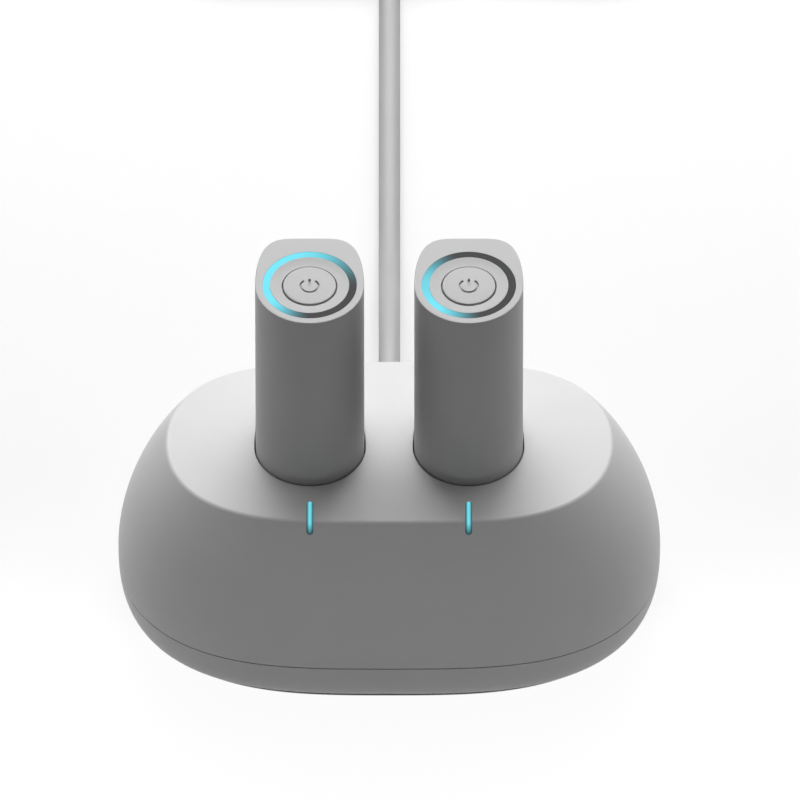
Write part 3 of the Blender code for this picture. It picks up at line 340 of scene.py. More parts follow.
def feed(tree, node, inputs):
    """Sets a node's inputs to values, or links them to figures, sockets or other nodes' first outputs."""
    for key, value in inputs.items():
        if isinstance(value, bpy.types.Node):
            value = value.outputs[0]
        elif isinstance(value, Figure):
            value = value.socket
        if isinstance(value, bpy.types.NodeSocket):
            tree.links.new(value, node.inputs[key])
        else:
            node.inputs[key].default_value = value


def add(tree, kind, inputs=None, **settings):
    """Adds a node with its settings, and with values or links for its inputs."""
    made = tree.nodes.new(kind)
    for key, value in settings.items():
        setattr(made, key, value)
    feed(tree, made, inputs or {})
    return made


def axes(tree, vector):
    """Returns the three numbers of a vector as figures."""
    parts = add(tree, "ShaderNodeSeparateXYZ", {"Vector": vector})
    return [Figure(tree, parts.outputs[axis]) for axis in "XYZ"]


def mapped(tree, value, start, end, low=0.0, high=1.0, kind="SMOOTHSTEP"):
    """Returns a figure that goes from low to high while a value goes from start to end."""
    inputs = {"Value": value, "From Min": start, "From Max": end, "To Min": low, "To Max": high}
    return Figure(tree, add(tree, "ShaderNodeMapRange", inputs, interpolation_type=kind).outputs["Result"])


def new_tree(name, numbers, counts):
    """Makes a node tree with named inputs; returns it and its numbers as figures."""
    tree = bpy.data.node_groups.new(name, "GeometryNodeTree")
    for kind, values in (("Float", numbers), ("Int", counts)):
        for key, value in values.items():
            socket = tree.interface.new_socket(key, in_out="INPUT", socket_type=f"NodeSocket{kind}")
            socket.default_value = value
    tree.interface.new_socket("Finish", in_out="INPUT", socket_type="NodeSocketMaterial")
    tree.interface.new_socket("Geometry", in_out="OUTPUT", socket_type="NodeSocketGeometry")
    given = tree.nodes.new("NodeGroupInput")
    return tree, {key: Figure(tree, given.outputs[key]) for key in (*numbers, *counts)}


def end_tree(tree, geometry):
    """Ends a tree with real geometry in the finish that it was given."""
    real = add(tree, "GeometryNodeRealizeInstances", {"Geometry": geometry})
    finish = tree.nodes["Group Input"].outputs["Finish"]
    coated = add(tree, "GeometryNodeSetMaterial", {"Geometry": real, "Material": finish})
    add(tree, "NodeGroupOutput", {"Geometry": coated})
    return tree


def housing_tree():
    """Makes the tree of a body that follows the housing's wall between two levels, with rounded rims."""
    levels = {"Lower Level": SHELL_BOTTOM, "Upper Level": BASE_HEIGHT}
    rims = {"Lower Edge": SEAM_EDGE, "Upper Edge": PLATEAU_EDGE, "Inset": 0.0, "Gather": 0.0}
    counts = {"Sides": OUTER_SIDES, "Rings": 64}
    tree, size = new_tree("housing_wall", {**HOUSING, **levels, **rims}, counts)
    counts = {"Vertices": size["Sides"], "Side Segments": size["Rings"]}
    body = add(tree, "GeometryNodeMeshCylinder", {**counts, "Radius": 1.0, "Depth": 1.0})
    across, sideways, up = axes(tree, add(tree, "GeometryNodeInputPosition"))
    ring = (up + 0.5) * size["Rings"]
    lower = limited(1.0 - ring / EDGE_RINGS)
    upper = limited((ring - size["Rings"]) / EDGE_RINGS + 1.0)
    middle = limited((ring - EDGE_RINGS) / (size["Rings"] - 2 * EDGE_RINGS))
    gathered = 1.0 - middle.combine("COSINE", middle * (pi / 2))
    share = middle + (gathered - middle) * size["Gather"]
    start = size["Lower Level"] + size["Lower Edge"]
    height = start + (size["Upper Level"] - size["Upper Edge"] - start) * share
    reach = wall_offset(size, height)
    for rim, near, way in (("Lower", lower, -1.0), ("Upper", upper, 1.0)):
        level, edge = size[f"{rim} Level"], size[f"{rim} Edge"]
        turned_in = 1.0 - (1.0 - near) ** 2.0
        reach = reach + (wall_offset(size, level) - reach) * turned_in - edge * near**2.0
        height = height + edge * turned_in * way
    reach = reach - size["Inset"]
    x = (size["Plateau Length"] / 2.0 + reach) * across
    y = outline_depth(size, height, reach, x) * sideways.combine("SIGN", sideways)
    spot = add(tree, "ShaderNodeCombineXYZ", {"X": x, "Y": y, "Z": height})
    return end_tree(tree, add(tree, "GeometryNodeSetPosition", {"Geometry": body, "Position": spot}))


def rib_tree():
    """Makes the tree of the ribs round a plug's strain relief, each a ring that rides on its taper."""
    taper = {"Length": RELIEF_LENGTH, "Root": RELIEF_ROOT, "Tip": RELIEF_TIP}
    numbers = {**taper, "Width": RIB_WIDTH, "Depth": RIB_DEPTH}
    tree, size = new_tree("relief_ribs", numbers, {"Count": RIB_COUNT, "Sides": 48})
    places = size["Count"] + RIB_MARGIN
    pitch = size["Length"] / places
    first, step = [add(tree, "ShaderNodeCombineXYZ", {"Z": pitch * -share}) for share in (RIB_START, 1.0)]
    line = {"Count": size["Count"], "Start Location": first, "Offset": step}
    line = add(tree, "GeometryNodeMeshLine", line)
    circle = add(tree, "GeometryNodeCurvePrimitiveCircle", {"Resolution": size["Sides"], "Radius": 1.0})
    section = add(tree, "GeometryNodeCurvePrimitiveCircle", {"Resolution": 12, "Radius": 1.0})
    out, along, _ = axes(tree, add(tree, "GeometryNodeInputPosition"))
    flat = {"X": out * size["Depth"] / size["Root"], "Y": along * size["Width"] / 2.0}
    flat = add(tree, "ShaderNodeCombineXYZ", flat)
    squeezed = add(tree, "GeometryNodeSetPosition", {"Geometry": section, "Position": flat})
    rib = add(tree, "GeometryNodeCurveToMesh", {"Curve": circle, "Profile Curve": squeezed})
    index = Figure(tree, add(tree, "GeometryNodeInputIndex").outputs[0])
    radius = size["Root"] + (size["Tip"] - size["Root"]) * ((index + RIB_START) / places)
    scale = add(tree, "ShaderNodeCombineXYZ", {"X": radius, "Y": radius, "Z": 1.0})
    ribs = add(tree, "GeometryNodeInstanceOnPoints", {"Points": line, "Instance": rib, "Scale": scale})
    return end_tree(tree, ribs)


def linked(name, data):
    """Makes an object of the data and links it to the scene."""
    made = bpy.data.objects.new(name, data)
    bpy.context.scene.collection.objects.link(made)
    return made


def baked(made):
    """Turns an object with modifiers into a plain mesh."""
    graph = bpy.context.evaluated_depsgraph_get()
    mesh = bpy.data.meshes.new_from_object(made.evaluated_get(graph), depsgraph=graph)
    made.modifiers.clear()
    made.data = mesh
    return made


def grown(name, tree, sizes):
    """Runs a node tree once with these inputs and returns its result as a plain mesh."""
    made = linked(name, bpy.data.meshes.new(name))
    modifier = made.modifiers.new(tree.name, "NODES")
    modifier.node_group = tree
    for item in tree.interface.items_tree:
        if item.name in sizes:
            modifier[item.identifier] = sizes[item.name]
    return baked(made)


def shaped(name, bm, matrix=None):
    """Makes an object from a bmesh, with its faces pointing out."""
    if matrix:
        bm.transform(matrix)
    bmesh.ops.recalc_face_normals(bm, faces=bm.faces)
    mesh = bpy.data.meshes.new(name)
    bm.to_mesh(mesh)
    bm.free()
    return linked(name, mesh)


def circle(radius, sides):
    """Returns the points of a circle about the origin."""
    turns = [2 * pi * i / sides for i in range(sides)]
    return [(radius * cos(turn), radius * sin(turn)) for turn in turns]


def bridge(bm, rings, closed=False):
    """Adds a body through rings of points: one with capped ends, or a closed band."""
    loops = [[bm.verts.new(point) for point in ring] for ring in rings]
    following = loops[1:] + loops[:1] if closed else loops[1:]
    for lower, upper in zip(loops, following):
        for i in range(len(lower)):
            bm.faces.new((lower[i - 1], lower[i], upper[i], upper[i - 1]))
    if not closed:
        bm.faces.new(loops[0])
        bm.faces.new(loops[-1])


def lofted(name, rings, closed=False):
    """Makes a body through rings that have the same number of points."""
    bm = bmesh.new()
    bridge(bm, rings, closed)
    return shaped(name, bm)


def turned(name, profile, matrix, sides=128):
    """Makes a turned body from points of (radius, height) down its outer side."""
    bm = bmesh.new()
    rings = []
    for radius, height in profile:
        around = circle(radius, sides) if radius > 0.0 else [(0.0, 0.0)]
        rings.append([bm.verts.new((x, y, height)) for x, y in around])
    pairs = list(zip(rings, rings[1:]))
    if profile[0][0] > 0.0:
        pairs.append((rings[-1], rings[0]))
    for upper, lower in pairs:
        for i in range(sides):
            corners = ((upper, i - 1), (upper, i), (lower, i), (lower, i - 1))
            bm.faces.new(list(dict.fromkeys(ring[j % len(ring)] for ring, j in corners)))
    return shaped(name, bm, matrix)


def filleted(corners, steps=5):
    """Rounds the corners of an open profile; a corner is (radius, height) or (radius, height, rounding)."""
    points = [corners[0][:2]]
    for before, corner, after in zip(corners, corners[1:], corners[2:]):
        if len(corner) < 3:
            points.append(corner)
            continue
        middle = Vector(corner[:2])
        start = middle + (Vector(before[:2]) - middle).normalized() * corner[2]
        end = middle + (Vector(after[:2]) - middle).normalized() * corner[2]
        for share in spread(0.0, 1.0, steps):
            points.append(tuple(start * (1 - share) ** 2 + middle * 2 * share * (1 - share) + end * share**2))
    return points + [corners[-1][:2]]


def rods(name, centres, radius, bottom, top, sides=24):
    """Makes an upright rod at each centre, to cut or join with."""
    bm = bmesh.new()
    for x, y in centres:
        bridge(bm, [[(x + a, y + b, height) for a, b in circle(radius, sides)] for height in (bottom, top)])
    return shaped(name, bm)


def combined(target, operation, *tools):
    """Cuts tools out of a body, or joins them to it, and keeps a plain mesh."""
    for tool in tools:
        modifier = target.modifiers.new(tool.name, "BOOLEAN")
        modifier.operation = operation
        modifier.object = tool
        modifier.solver = "EXACT"
    baked(target)
    for tool in tools:
        bpy.data.objects.remove(tool)
    return target


def coat(made, finish):
    """Gives a mesh one finish all over."""
    made.data.materials.clear()
    made.data.materials.append(finish)


def dressed(made, finish, crease=35):
    """Gives a body its finish and shades it smooth, with crisp edges past an angle in degrees."""
    coat(made, finish)
    made.data.shade_smooth()
    made.data.set_sharp_from_angle(angle=radians(crease))
    weighted = made.modifiers.new("weighted", "WEIGHTED_NORMAL")
    weighted.mode = "FACE_AREA"
    weighted.keep_sharp = True
    return baked(made)


def carried(piece, body, slot, *nodes):
    """Lets a piece ride on a body and stand for its nodes, which it hides; the slot is not used."""
    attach(piece, body)
    if nodes:
        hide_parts(*nodes)
    return piece


def levels_of(node):
    """Returns the heights of a node's bottom and top."""
    low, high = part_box(node)
    return low[2], high[2]


def bay_axis(side):
    """Returns the place of a battery's axis, and the battery's radius and depth behind that axis."""
    low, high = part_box(f"{side}_battery_case")
    radius = (high[0] - low[0]) / 2
    y = low[1] + radius
    return (low[0] + high[0]) / 2, y, radius, high[1] - y


def turned_on_axis(side, name, profile, height=0.0):
    """Makes a turned body on a battery's axis, with its profile's heights from a height."""
    x, y, _, _ = bay_axis(side)
    return turned(f"{side}_{name}", profile, Matrix.Translation((x, y, height)))


def battery_ring(side, height, grow=0.0, front=72, back=64):
    """Returns a battery's D section at a height: a half circle in front and a squarer back."""
    x, y, radius, depth = bay_axis(side)
    radius, depth = radius + grow, depth + grow
    points = []
    for i in range(front + 1):
        turn = pi + pi * i / front
        points.append((x + radius * cos(turn), y + radius * sin(turn), height))
    for i in range(1, back):
        across = cos(pi * i / back)
        back_y = y + depth * (1.0 - abs(across) ** BACK_SQUARENESS) ** 0.5
        points.append((x + radius * across, back_y, height))
    return points


def blank_material(name, roughness, metallic=0.0):
    """Returns a new material with its tree and its shader."""
    made = bpy.data.materials.new(name)
    made.use_nodes = True
    shader = made.node_tree.nodes["Principled BSDF"]
    feed(made.node_tree, shader, {"Roughness": roughness, "Metallic": metallic})
    return made, made.node_tree, shader


def object_place(tree):
    """Returns a point's place in its object's own coordinates."""
    return add(tree, "ShaderNodeTexCoord").outputs["Object"]


def tinted(tree, share, dark, light):
    """Returns a colour that runs from dark to light with a share."""
    ramp = add(tree, "ShaderNodeValToRGB", {"Fac": share})
    for element, position, colour in zip(ramp.color_ramp.elements, TINT_SPAN, (dark, light)):
        element.position = position
        element.color = (*colour, 1.0)
    return ramp.outputs["Color"]


def grained(
    name, colour, roughness, grain=0.0005, bump=0.000006, mottle=0.015, metallic=0.0, stretch=(1, 1, 1)
):
    """Makes a finish with a fine grain, a slight mottle and uneven gloss; stretch draws the grain out."""
    made, tree, shader = blank_material(name, roughness, metallic)
    place = object_place(tree)
    drawn = add(tree, "ShaderNodeMapping", {"Vector": place, "Scale": stretch})
    fine = add(tree, "ShaderNodeTexNoise", {"Vector": drawn, "Scale": 1 / grain, "Detail": 2.0})
    fine = fine.outputs["Fac"]
    broad = add(tree, "ShaderNodeTexNoise", {"Vector": place, "Scale": MOTTLE_SCALE, "Detail": 3.0})
    shades = [[channel * (1 + sign * mottle) for channel in colour] for sign in (-1, 1)]
    tint = tinted(tree, broad.outputs["Fac"], *shades)
    gloss = mapped(tree, fine, 0.0, 1.0, roughness - GLOSS_SPREAD, roughness + GLOSS_SPREAD, "LINEAR")
    relief = add(tree, "ShaderNodeBump", {"Height": fine, "Distance": bump, "Strength": 1.0})
    feed(tree, shader, {"Base Color": tint, "Roughness": gloss, "Normal": relief})
    return made


def lit(made, colour, strength):
    """Lights a guide's material from within, in a colour and with a figure as its strength."""
    light = {"Emission Color": (*colour, 1.0), "Emission Strength": strength}
    shader = made.node_tree.nodes["Principled BSDF"]
    feed(made.node_tree, shader, {**light, "Specular IOR Level": GUIDE_GLOSS})
    return made


def ring_light(side):
    """Makes the smoky light guide of a battery's ring, lit round its axis by the ring's stops."""
    made = grained(f"{side}_ring_guide", GUIDE_DARK, 0.42, bump=0.000002)
    tree = made.node_tree
    x, y, _, _ = bay_axis(side)
    centred = add(tree, "ShaderNodeMapping", {"Vector": object_place(tree), "Location": (-x, -y, 0.0)})
    across, deep, _ = axes(tree, centred)
    share = across.combine("ARCTAN2", deep, across) / (2 * pi) + 0.5
    ramp = add(tree, "ShaderNodeValToRGB", {"Fac": share})
    ramp.color_ramp.interpolation = "EASE"
    for position, _ in RING_STOPS[side][1:-1]:
        ramp.color_ramp.elements.new(position)
    for element, (position, light) in zip(ramp.color_ramp.elements, RING_STOPS[side]):
        element.position = position
        element.color = (light, light, light, 1.0)
    return lit(made, RING_LIGHT, Figure(tree, ramp.outputs["Color"]) * RING_STRENGTH)


def bar_light():
    """Makes the light bars' guide: bright along its middle, fading down the wall."""
    made = grained("bar_guide", BAR_DARK, 0.30, bump=0.000001)
    tree = made.node_tree
    across, _, height = axes(tree, object_place(tree))
    bright = mapped(tree, abs(abs(across) - bay_axis("right")[0]), *BAR_CORE, *BAR_LEVELS)
    fade = mapped(tree, height, BASE_HEIGHT - BAR_DROP, BASE_HEIGHT - BAR_FADE_TOP, kind="LINEAR")
    return lit(made, BAR_LIGHT, bright * fade)


def circuit_board():
    """Makes a circuit board's finish: solder mask with copper tracks showing through."""
    made, tree, shader = blank_material("circuit_board", 0.42)
    masks = {"Color1": (0.012, 0.11, 0.045, 1.0), "Color2": (0.010, 0.085, 0.036, 1.0)}
    copper = {"Mortar": (0.045, 0.22, 0.09, 1.0), "Mortar Size": 0.09}
    tracks = {"Vector": object_place(tree), "Scale": 420.0, **masks, **copper}
    tracks = add(tree, "ShaderNodeTexBrick", tracks)
    relief = add(tree, "ShaderNodeBump", {"Height": tracks.outputs["Fac"], "Distance": 0.00002})
    feed(tree, shader, {"Base Color": tracks.outputs["Color"], "Normal": relief})
    return made


def woven_tape():
    """Makes the tie's hook-and-loop tape: fine loops in rows."""
    made, tree, shader = blank_material("woven_tape", 0.9)
    place = object_place(tree)
    rows = {"Vector": place, "Scale": 900.0, "Distortion": 3.0, "Detail Scale": 4.0}
    rows = Figure(tree, add(tree, "ShaderNodeTexWave", rows).outputs["Fac"])
    loops = add(tree, "ShaderNodeTexVoronoi", {"Vector": place, "Scale": 2600.0})
    height = rows + Figure(tree, loops.outputs["Distance"])
    tint = tinted(tree, height / 2.0, (0.012, 0.012, 0.013), (0.05, 0.05, 0.052))
    relief = add(tree, "ShaderNodeBump", {"Height": height, "Distance": 0.00015})
    feed(tree, shader, {"Base Color": tint, "Normal": relief})
    return made


def make_finishes():
    """Makes every finish, by its slot's name."""
    return {
        "housing": grained("housing_plastic", HOUSING_GREY, 0.50),
        "battery": grained("battery_plastic", BATTERY_GREY, 0.50),
        "well": grained("well_plastic", (0.075, 0.075, 0.08), 0.60, bump=0.00001),
        "black_plastic": grained("black_plastic", (0.022, 0.022, 0.024), 0.50, bump=0.00001),
        "board": circuit_board(),
        "gold": grained("gold_plate", (0.83, 0.61, 0.24), 0.26, grain=0.0002, mottle=0.04, metallic=1.0),
        "steel": grained("steel", (0.56, 0.57, 0.58), 0.32, mottle=0.05, metallic=1.0, stretch=(1, 12, 1)),
        "cell_wrap": grained("cell_wrap", (0.03, 0.13, 0.26), 0.34, grain=0.004, bump=0.00004),
        "rubber": grained("rubber", (0.026, 0.026, 0.027), 0.86, grain=0.0003, bump=0.00003, mottle=0.08),
        "lead": grained("lead_jacket", LEAD_GREY, 0.46, grain=0.0012, bump=0.000012, mottle=0.02),
        "wire": grained("wire_insulation", WIRE_RED, 0.42, grain=0.001, bump=0.00001, mottle=0.05),
        "tape": woven_tape(),
        "bar": bar_light(),
        "left_ring": ring_light("left"),
        "right_ring": ring_light("right"),
    }


def foot_places():
    """Returns the middle of each foot, from the frame."""
    boxes = [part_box(f"foot_{corner}") for corner in CORNERS]
    return [((low[0] + high[0]) / 2, (low[1] + high[1]) / 2) for low, high in boxes]


def rolled_rim(edge, crossing, steps):
    """Returns (distance out, height) up a hole's rounded rim, to where it meets the face at an angle."""
    turns = spread(0.0, crossing, steps)
    return [(edge * (1.0 - cos(turn)), edge * (sin(turn) - sin(crossing))) for turn in turns]


def mouth_cutter(side):
    """Makes the cutter for a well's mouth, with a rim that is rounded over at the plateau."""
    rings = [battery_ring(side, CAVITY_TOP - OVERRUN, MOUTH_CLEARANCE)]
    for out, height in rolled_rim(MOUTH_EDGE, MOUTH_CROSSING, 6):
        rings.append(battery_ring(side, BASE_HEIGHT + height, MOUTH_CLEARANCE + out))
    rise = OVERRUN / 4 / tan(MOUTH_CROSSING)
    rings.append(battery_ring(side, BASE_HEIGHT + rise, MOUTH_CLEARANCE + out + OVERRUN / 4))
    return lofted(f"{side}_mouth", rings)


def bar_path(side):
    """Returns the line of a light bar on the housing: over the top, round the edge and down the wall."""
    x = bay_axis(side)[0]
    front = -outline_depth(HOUSING, BASE_HEIGHT, 0.0, x)
    start = BASE_HEIGHT - PLATEAU_EDGE
    path = [Vector((x, front + BAR_ON_TOP, BASE_HEIGHT))]
    for share in spread(1.0, 0.0, 9):
        reach = wall_offset(HOUSING, start) * (1.0 - share) ** 2 - PLATEAU_EDGE * share**2
        height = BASE_HEIGHT - PLATEAU_EDGE * (1.0 - share) ** 2
        path.append(Vector((x, -outline_depth(HOUSING, height, reach, x), height)))
    for height in spread(start, BASE_HEIGHT - BAR_DROP, 7)[1:]:
        path.append(Vector((x, -outline_depth(HOUSING, height, wall_offset(HOUSING, height), x), height)))
    return path


def point_along(path, distance):
    """Returns the point at a distance along a path; past its ends it goes straight on."""
    for start, end in zip(path, path[1:]):
        length = (end - start).length
        if distance <= length or end is path[-1]:
            return start + (end - start) * (distance / length)
        distance -= length


def round_ended(length, half, count, first=0.2, steps=5):
    """Returns (distance, half width) along a strip whose round ends start at an angle from their tips."""
    turns = spread(first, pi / 2, steps)
    ends = [(half * (1.0 - cos(turn)), half * sin(turn)) for turn in turns]
    body = [(at, half) for at in spread(half, length - half, count)[1:-1]]
    return ends + body + [(length - at, width) for at, width in reversed(ends)]


def bar_body(name, side, clearance, stand, depth, crown=0.0):
    """Makes a light bar, or its slot's cutter: a ribbon along the bar's line with round ends."""
    path = bar_path(side)
    length = sum((b - a).length for a, b in zip(path, path[1:])) + 2 * clearance
    out = Vector((0.0, -1.0, 1.0)).normalized()
    rings = []
    for at, width in round_ended(length, BAR_HALF + clearance, 40, radians(8), 9):
        middle, sideways = point_along(path, at - clearance), Vector((width, 0.0, 0.0))
        ring = []
        for share in spread(-1.0, 1.0, 7):
            ring.append(middle + sideways * share + out * (stand + crown * (1.0 - share**2)))
        rings.append([*ring, middle + sideways - out * depth, middle - sideways - out * depth])
    return lofted(name, rings)


def inner_body(name, tree, bottom, top, changes=None):
    """Grows a body a wall's thickness inside the housing between two levels, or with changed inputs."""
    sizes = {"Inset": WALL, "Lower Level": bottom, "Upper Level": top, "Sides": INNER_SIDES, "Rings": 26}
    return grown(name, tree, {**sizes, "Lower Edge": INNER_EDGE, "Upper Edge": INNER_EDGE, **(changes or {})})


def make_upper_housing(tree, finishes):
    """Makes the upper housing, hollow, with its posts, stakes, well mouths and slots for the light bars."""
    housing = grown("upper_housing", tree, {})
    cavity = inner_body("cavity", tree, SHELL_BOTTOM + LIP_HEIGHT / 2, CAVITY_TOP)
    seam = {"Inset": LIP_INSET, "Upper Edge": SEAM_EDGE}
    rebate = inner_body("rebate", tree, SHELL_BOTTOM - OVERRUN, SHELL_BOTTOM + LIP_HEIGHT, seam)
    combined(cavity, "UNION", rebate)
    stakes = []
    across, ahead = EAR_REACH * sin(EAR_ANGLE), EAR_REACH * cos(EAR_ANGLE)
    for side in SIDES:
        x, y, _, _ = bay_axis(side)
        stakes += [(x - across, y - ahead), (x + across, y - ahead), (x, y + BACK_EAR)]
    posts = rods("posts", foot_places(), POST_RADIUS, SHELL_BOTTOM, BASE_HEIGHT)
    combined(cavity, "DIFFERENCE", posts, rods("stakes", stakes, STAKE_RADIUS, STAKE_BOTTOM, BASE_HEIGHT))
    pilots = rods("pilots", foot_places(), SCREW_HOLE, SHELL_BOTTOM - OVERRUN, PILOT_TOP)
    mouths = [mouth_cutter(side) for side in SIDES]
    slots = [bar_body(f"{side}_slot", side, BAR_CLEARANCE, OVERRUN / 2, 2 * WALL) for side in SIDES]
    combined(housing, "DIFFERENCE", cavity, pilots, *mouths, *slots)
    carried(dressed(housing, finishes["housing"]), "dock", "housing", "upper_shell")


def make_lower_housing(tree, finishes):
    """Makes the lower housing, with its locating lip, posts, foot recesses and the plug's hole."""
    rims = {"Lower Edge": BASE_EDGE, "Upper Edge": SEAM_EDGE, "Gather": 1.0, "Rings": 44}
    cover = grown("lower_housing", tree, {**rims, "Lower Level": FOOT_STAND, "Upper Level": COVER_TOP})
    fit = {"Inset": LIP_INSET + SEAT_GAP, "Rings": 20}
    lip = inner_body("lip", tree, COVER_TOP - LIP_HEIGHT, COVER_TOP + LIP_HEIGHT, fit)
    cavity = inner_body("lower_cavity", tree, CAVITY_FLOOR, COVER_TOP + OVERRUN)
    board_low, board_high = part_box("main_board")
    middle = (board_low[1] + board_high[1]) / 2
    board_posts = [(x, middle) for x in (board_low[0] + BOARD_POST_INSET, board_high[0] - BOARD_POST_INSET)]
    posts = rods("cover_posts", foot_places(), COVER_POST_RADIUS, FOOT_STAND, COVER_TOP)
    supports = rods("board_posts", board_posts, BOARD_POST_RADIUS, FOOT_STAND, board_low[2] - SEAT_GAP)
    combined(cavity, "DIFFERENCE", posts, supports)
    combined(cover, "UNION", lip)
    below = FOOT_STAND - OVERRUN
    plug_low, plug_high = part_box("lead_plug")
    radius, reach = NECK_RADIUS + SEAT_GAP, plug_low[1] + BARREL_LENGTH - SEAT_GAP - HOLE_START
    hole = [(0.0, 0.0), (radius, 0.0), (radius, reach), (0.0, reach)]
    lying = Matrix.Translation((0.0, HOLE_START, (plug_low[2] + plug_high[2]) / 2))
    cutters = [
        cavity,
        rods("foot_recesses", foot_places(), FOOT_RADIUS + SEAT_GAP, below, FOOT_RECESS, 64),
        rods("counterbores", foot_places(), COUNTERBORE_RADIUS, below, COUNTERBORE_TOP),
        rods("screw_holes", foot_places(), SCREW_HOLE, below, COVER_TOP + OVERRUN),
        rods("board_pilots", board_posts, SCREW_HOLE, CAVITY_FLOOR, board_high[2]),
        turned("inlet_hole", hole, lying @ Matrix.Rotation(-pi / 2, 4, "X"), 48),
    ]
    combined(cover, "DIFFERENCE", *cutters)
    carried(dressed(cover, finishes["housing"]), "dock", "housing", "bottom_cover")


def make_light_bar(side, finishes):
    """Makes a light bar, with the leg that brings it the lamp's light."""
    bar = bar_body(f"{side}_bar", side, 0.0, BAR_STAND, WALL * sqrt(2) - BAR_STAND, BAR_CROWN)
    x = bay_axis(side)[0]
    wall = -outline_depth(HOUSING, CAVITY_TOP, wall_offset(HOUSING, CAVITY_TOP) - WALL, x)
    left, right = x - BAR_LEG_HALF, x + BAR_LEG_HALF
    front, back = wall + BAR_LEG_FRONT, wall + BAR_LEG_BACK
    corners = [(left, front), (right, front), (right, back), (left, back)]
    heights = levels_of(f"{side}_light_bar")[0], CAVITY_TOP + WALL / 2
    leg = lofted(f"{side}_leg", [[(*corner, height) for corner in corners] for height in heights])
    combined(bar, "UNION", leg)
    carried(dressed(bar, finishes["bar"]), "dock", "light_guide", f"{side}_light_bar")


def make_case(side, finishes):
    """Makes a battery's case: a D-section shell with a rounded top edge and the hole for its light ring."""
    bottom, top = levels_of(f"{side}_battery_case")
    heights = [bottom, bottom + CASE_HEM, *spread(bottom, top - CASE_EDGE, 12)[1:]]
    rings = [battery_ring(side, height) for height in heights]
    for turn in spread(0.0, pi / 2, 9)[1:]:
        height = top - CASE_EDGE * (1.0 - sin(turn))
        rings.append(battery_ring(side, height, CASE_EDGE * (cos(turn) - 1.0)))
    case = lofted(f"{side}_case", rings)
    levels = bottom - OVERRUN, top - CASE_TOP
    hollow = lofted(f"{side}_hollow", [battery_ring(side, height, -CASE_WALL) for height in levels])
    radius = RING_OUTER + RING_CLEARANCE
    profile = [(0.0, OVERRUN / 4), (radius + OVERRUN / 2, OVERRUN / 4)]
    profile += [(radius + out, height) for out, height in reversed(rolled_rim(HOLE_EDGE, HOLE_CROSSING, 5))]
    profile += [(radius, -OVERRUN), (0.0, -OVERRUN)]
    combined(case, "DIFFERENCE", hollow, turned_on_axis(side, "ring_hole", profile, top))
    carried(dressed(case, finishes["battery"]), "dock", "battery", f"{side}_battery_case")


def make_ring(side, finishes):
    """Makes the ring of a battery's light guide, with broken edges."""
    bottom, top = levels_of(f"{side}_light_ring")
    middle = (RING_OUTER + RING_INNER) / 2
    corners = [(RING_OUTER, top), (RING_OUTER, bottom), (RING_INNER, bottom), (RING_INNER, top)]
    corners = [(*corner, RING_EDGE) for corner in corners]
    profile = filleted([(middle, top), *corners, (middle - RING_EDGE, top)])
    ring = turned_on_axis(side, "ring", profile)
    carried(dressed(ring, finishes[f"{side}_ring"]), "dock", "light_guide", f"{side}_light_ring")


def make_bezel(side, finishes):
    """Makes the dished plate between a light ring and its button, with the skirt under it."""
    low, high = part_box(f"{side}_button_bezel")
    top, bottom = high[2], low[2]
    outer = (high[0] - low[0]) / 2
    underside = top - DISH_DEPTH - BEZEL_THICKNESS
    dish = []
    for share in spread(0.0, 1.0, 9)[1:-1]:
        dish.append((BEZEL_HOLE + (outer - BEZEL_HOLE) * share, top - DISH_DEPTH * (1.0 - share**DISH_CURVE)))
    profile = filleted([
        *dish,
        (outer, top, BEZEL_EDGE), (outer, bottom),
        (outer - SKIRT_WALL, bottom), (outer - SKIRT_WALL, underside),
        (BEZEL_HOLE, underside), (BEZEL_HOLE, top - DISH_DEPTH, BEZEL_EDGE),
        dish[0],
    ])[:-1]
    bezel = turned_on_axis(side, "dish", profile)
    carried(dressed(bezel, finishes["battery"], 50), "dock", "battery", f"{side}_button_bezel")


def ribbon(name, stations, low, high):
    """Makes an upright-sided strip through stations of (middle, sideways direction, half width)."""
    rings = []
    for middle, sideways, half in stations:
        one, other = middle - sideways * half, middle + sideways * half
        rings.append([(*one, low), (*other, low), (*other, high), (*one, high)])
    return lofted(name, rings)


def power_mark(side, centre, face):
    """Makes the cutters of the power mark: a ring that is open at the back and the bar in its gap."""
    half = MARK_STROKE / 2
    span = 2 * pi - 2 * MARK_GAP
    arc = []
    for at, width in round_ended(span * MARK_RADIUS, half, 48):
        turn = pi / 2 + MARK_GAP + at / MARK_RADIUS
        out = Vector((cos(turn), sin(turn)))
        arc.append((centre + out * MARK_RADIUS, out, width))
    stem = []
    for at, width in round_ended(MARK_STEM + half, half, 6):
        stem.append((centre + Vector((0.0, at - half)), Vector((1.0, 0.0)), width))
    levels = face - MARK_DEPTH, face + OVERRUN
    return ribbon(f"{side}_mark_ring", arc, *levels), ribbon(f"{side}_mark_bar", stem, *levels)


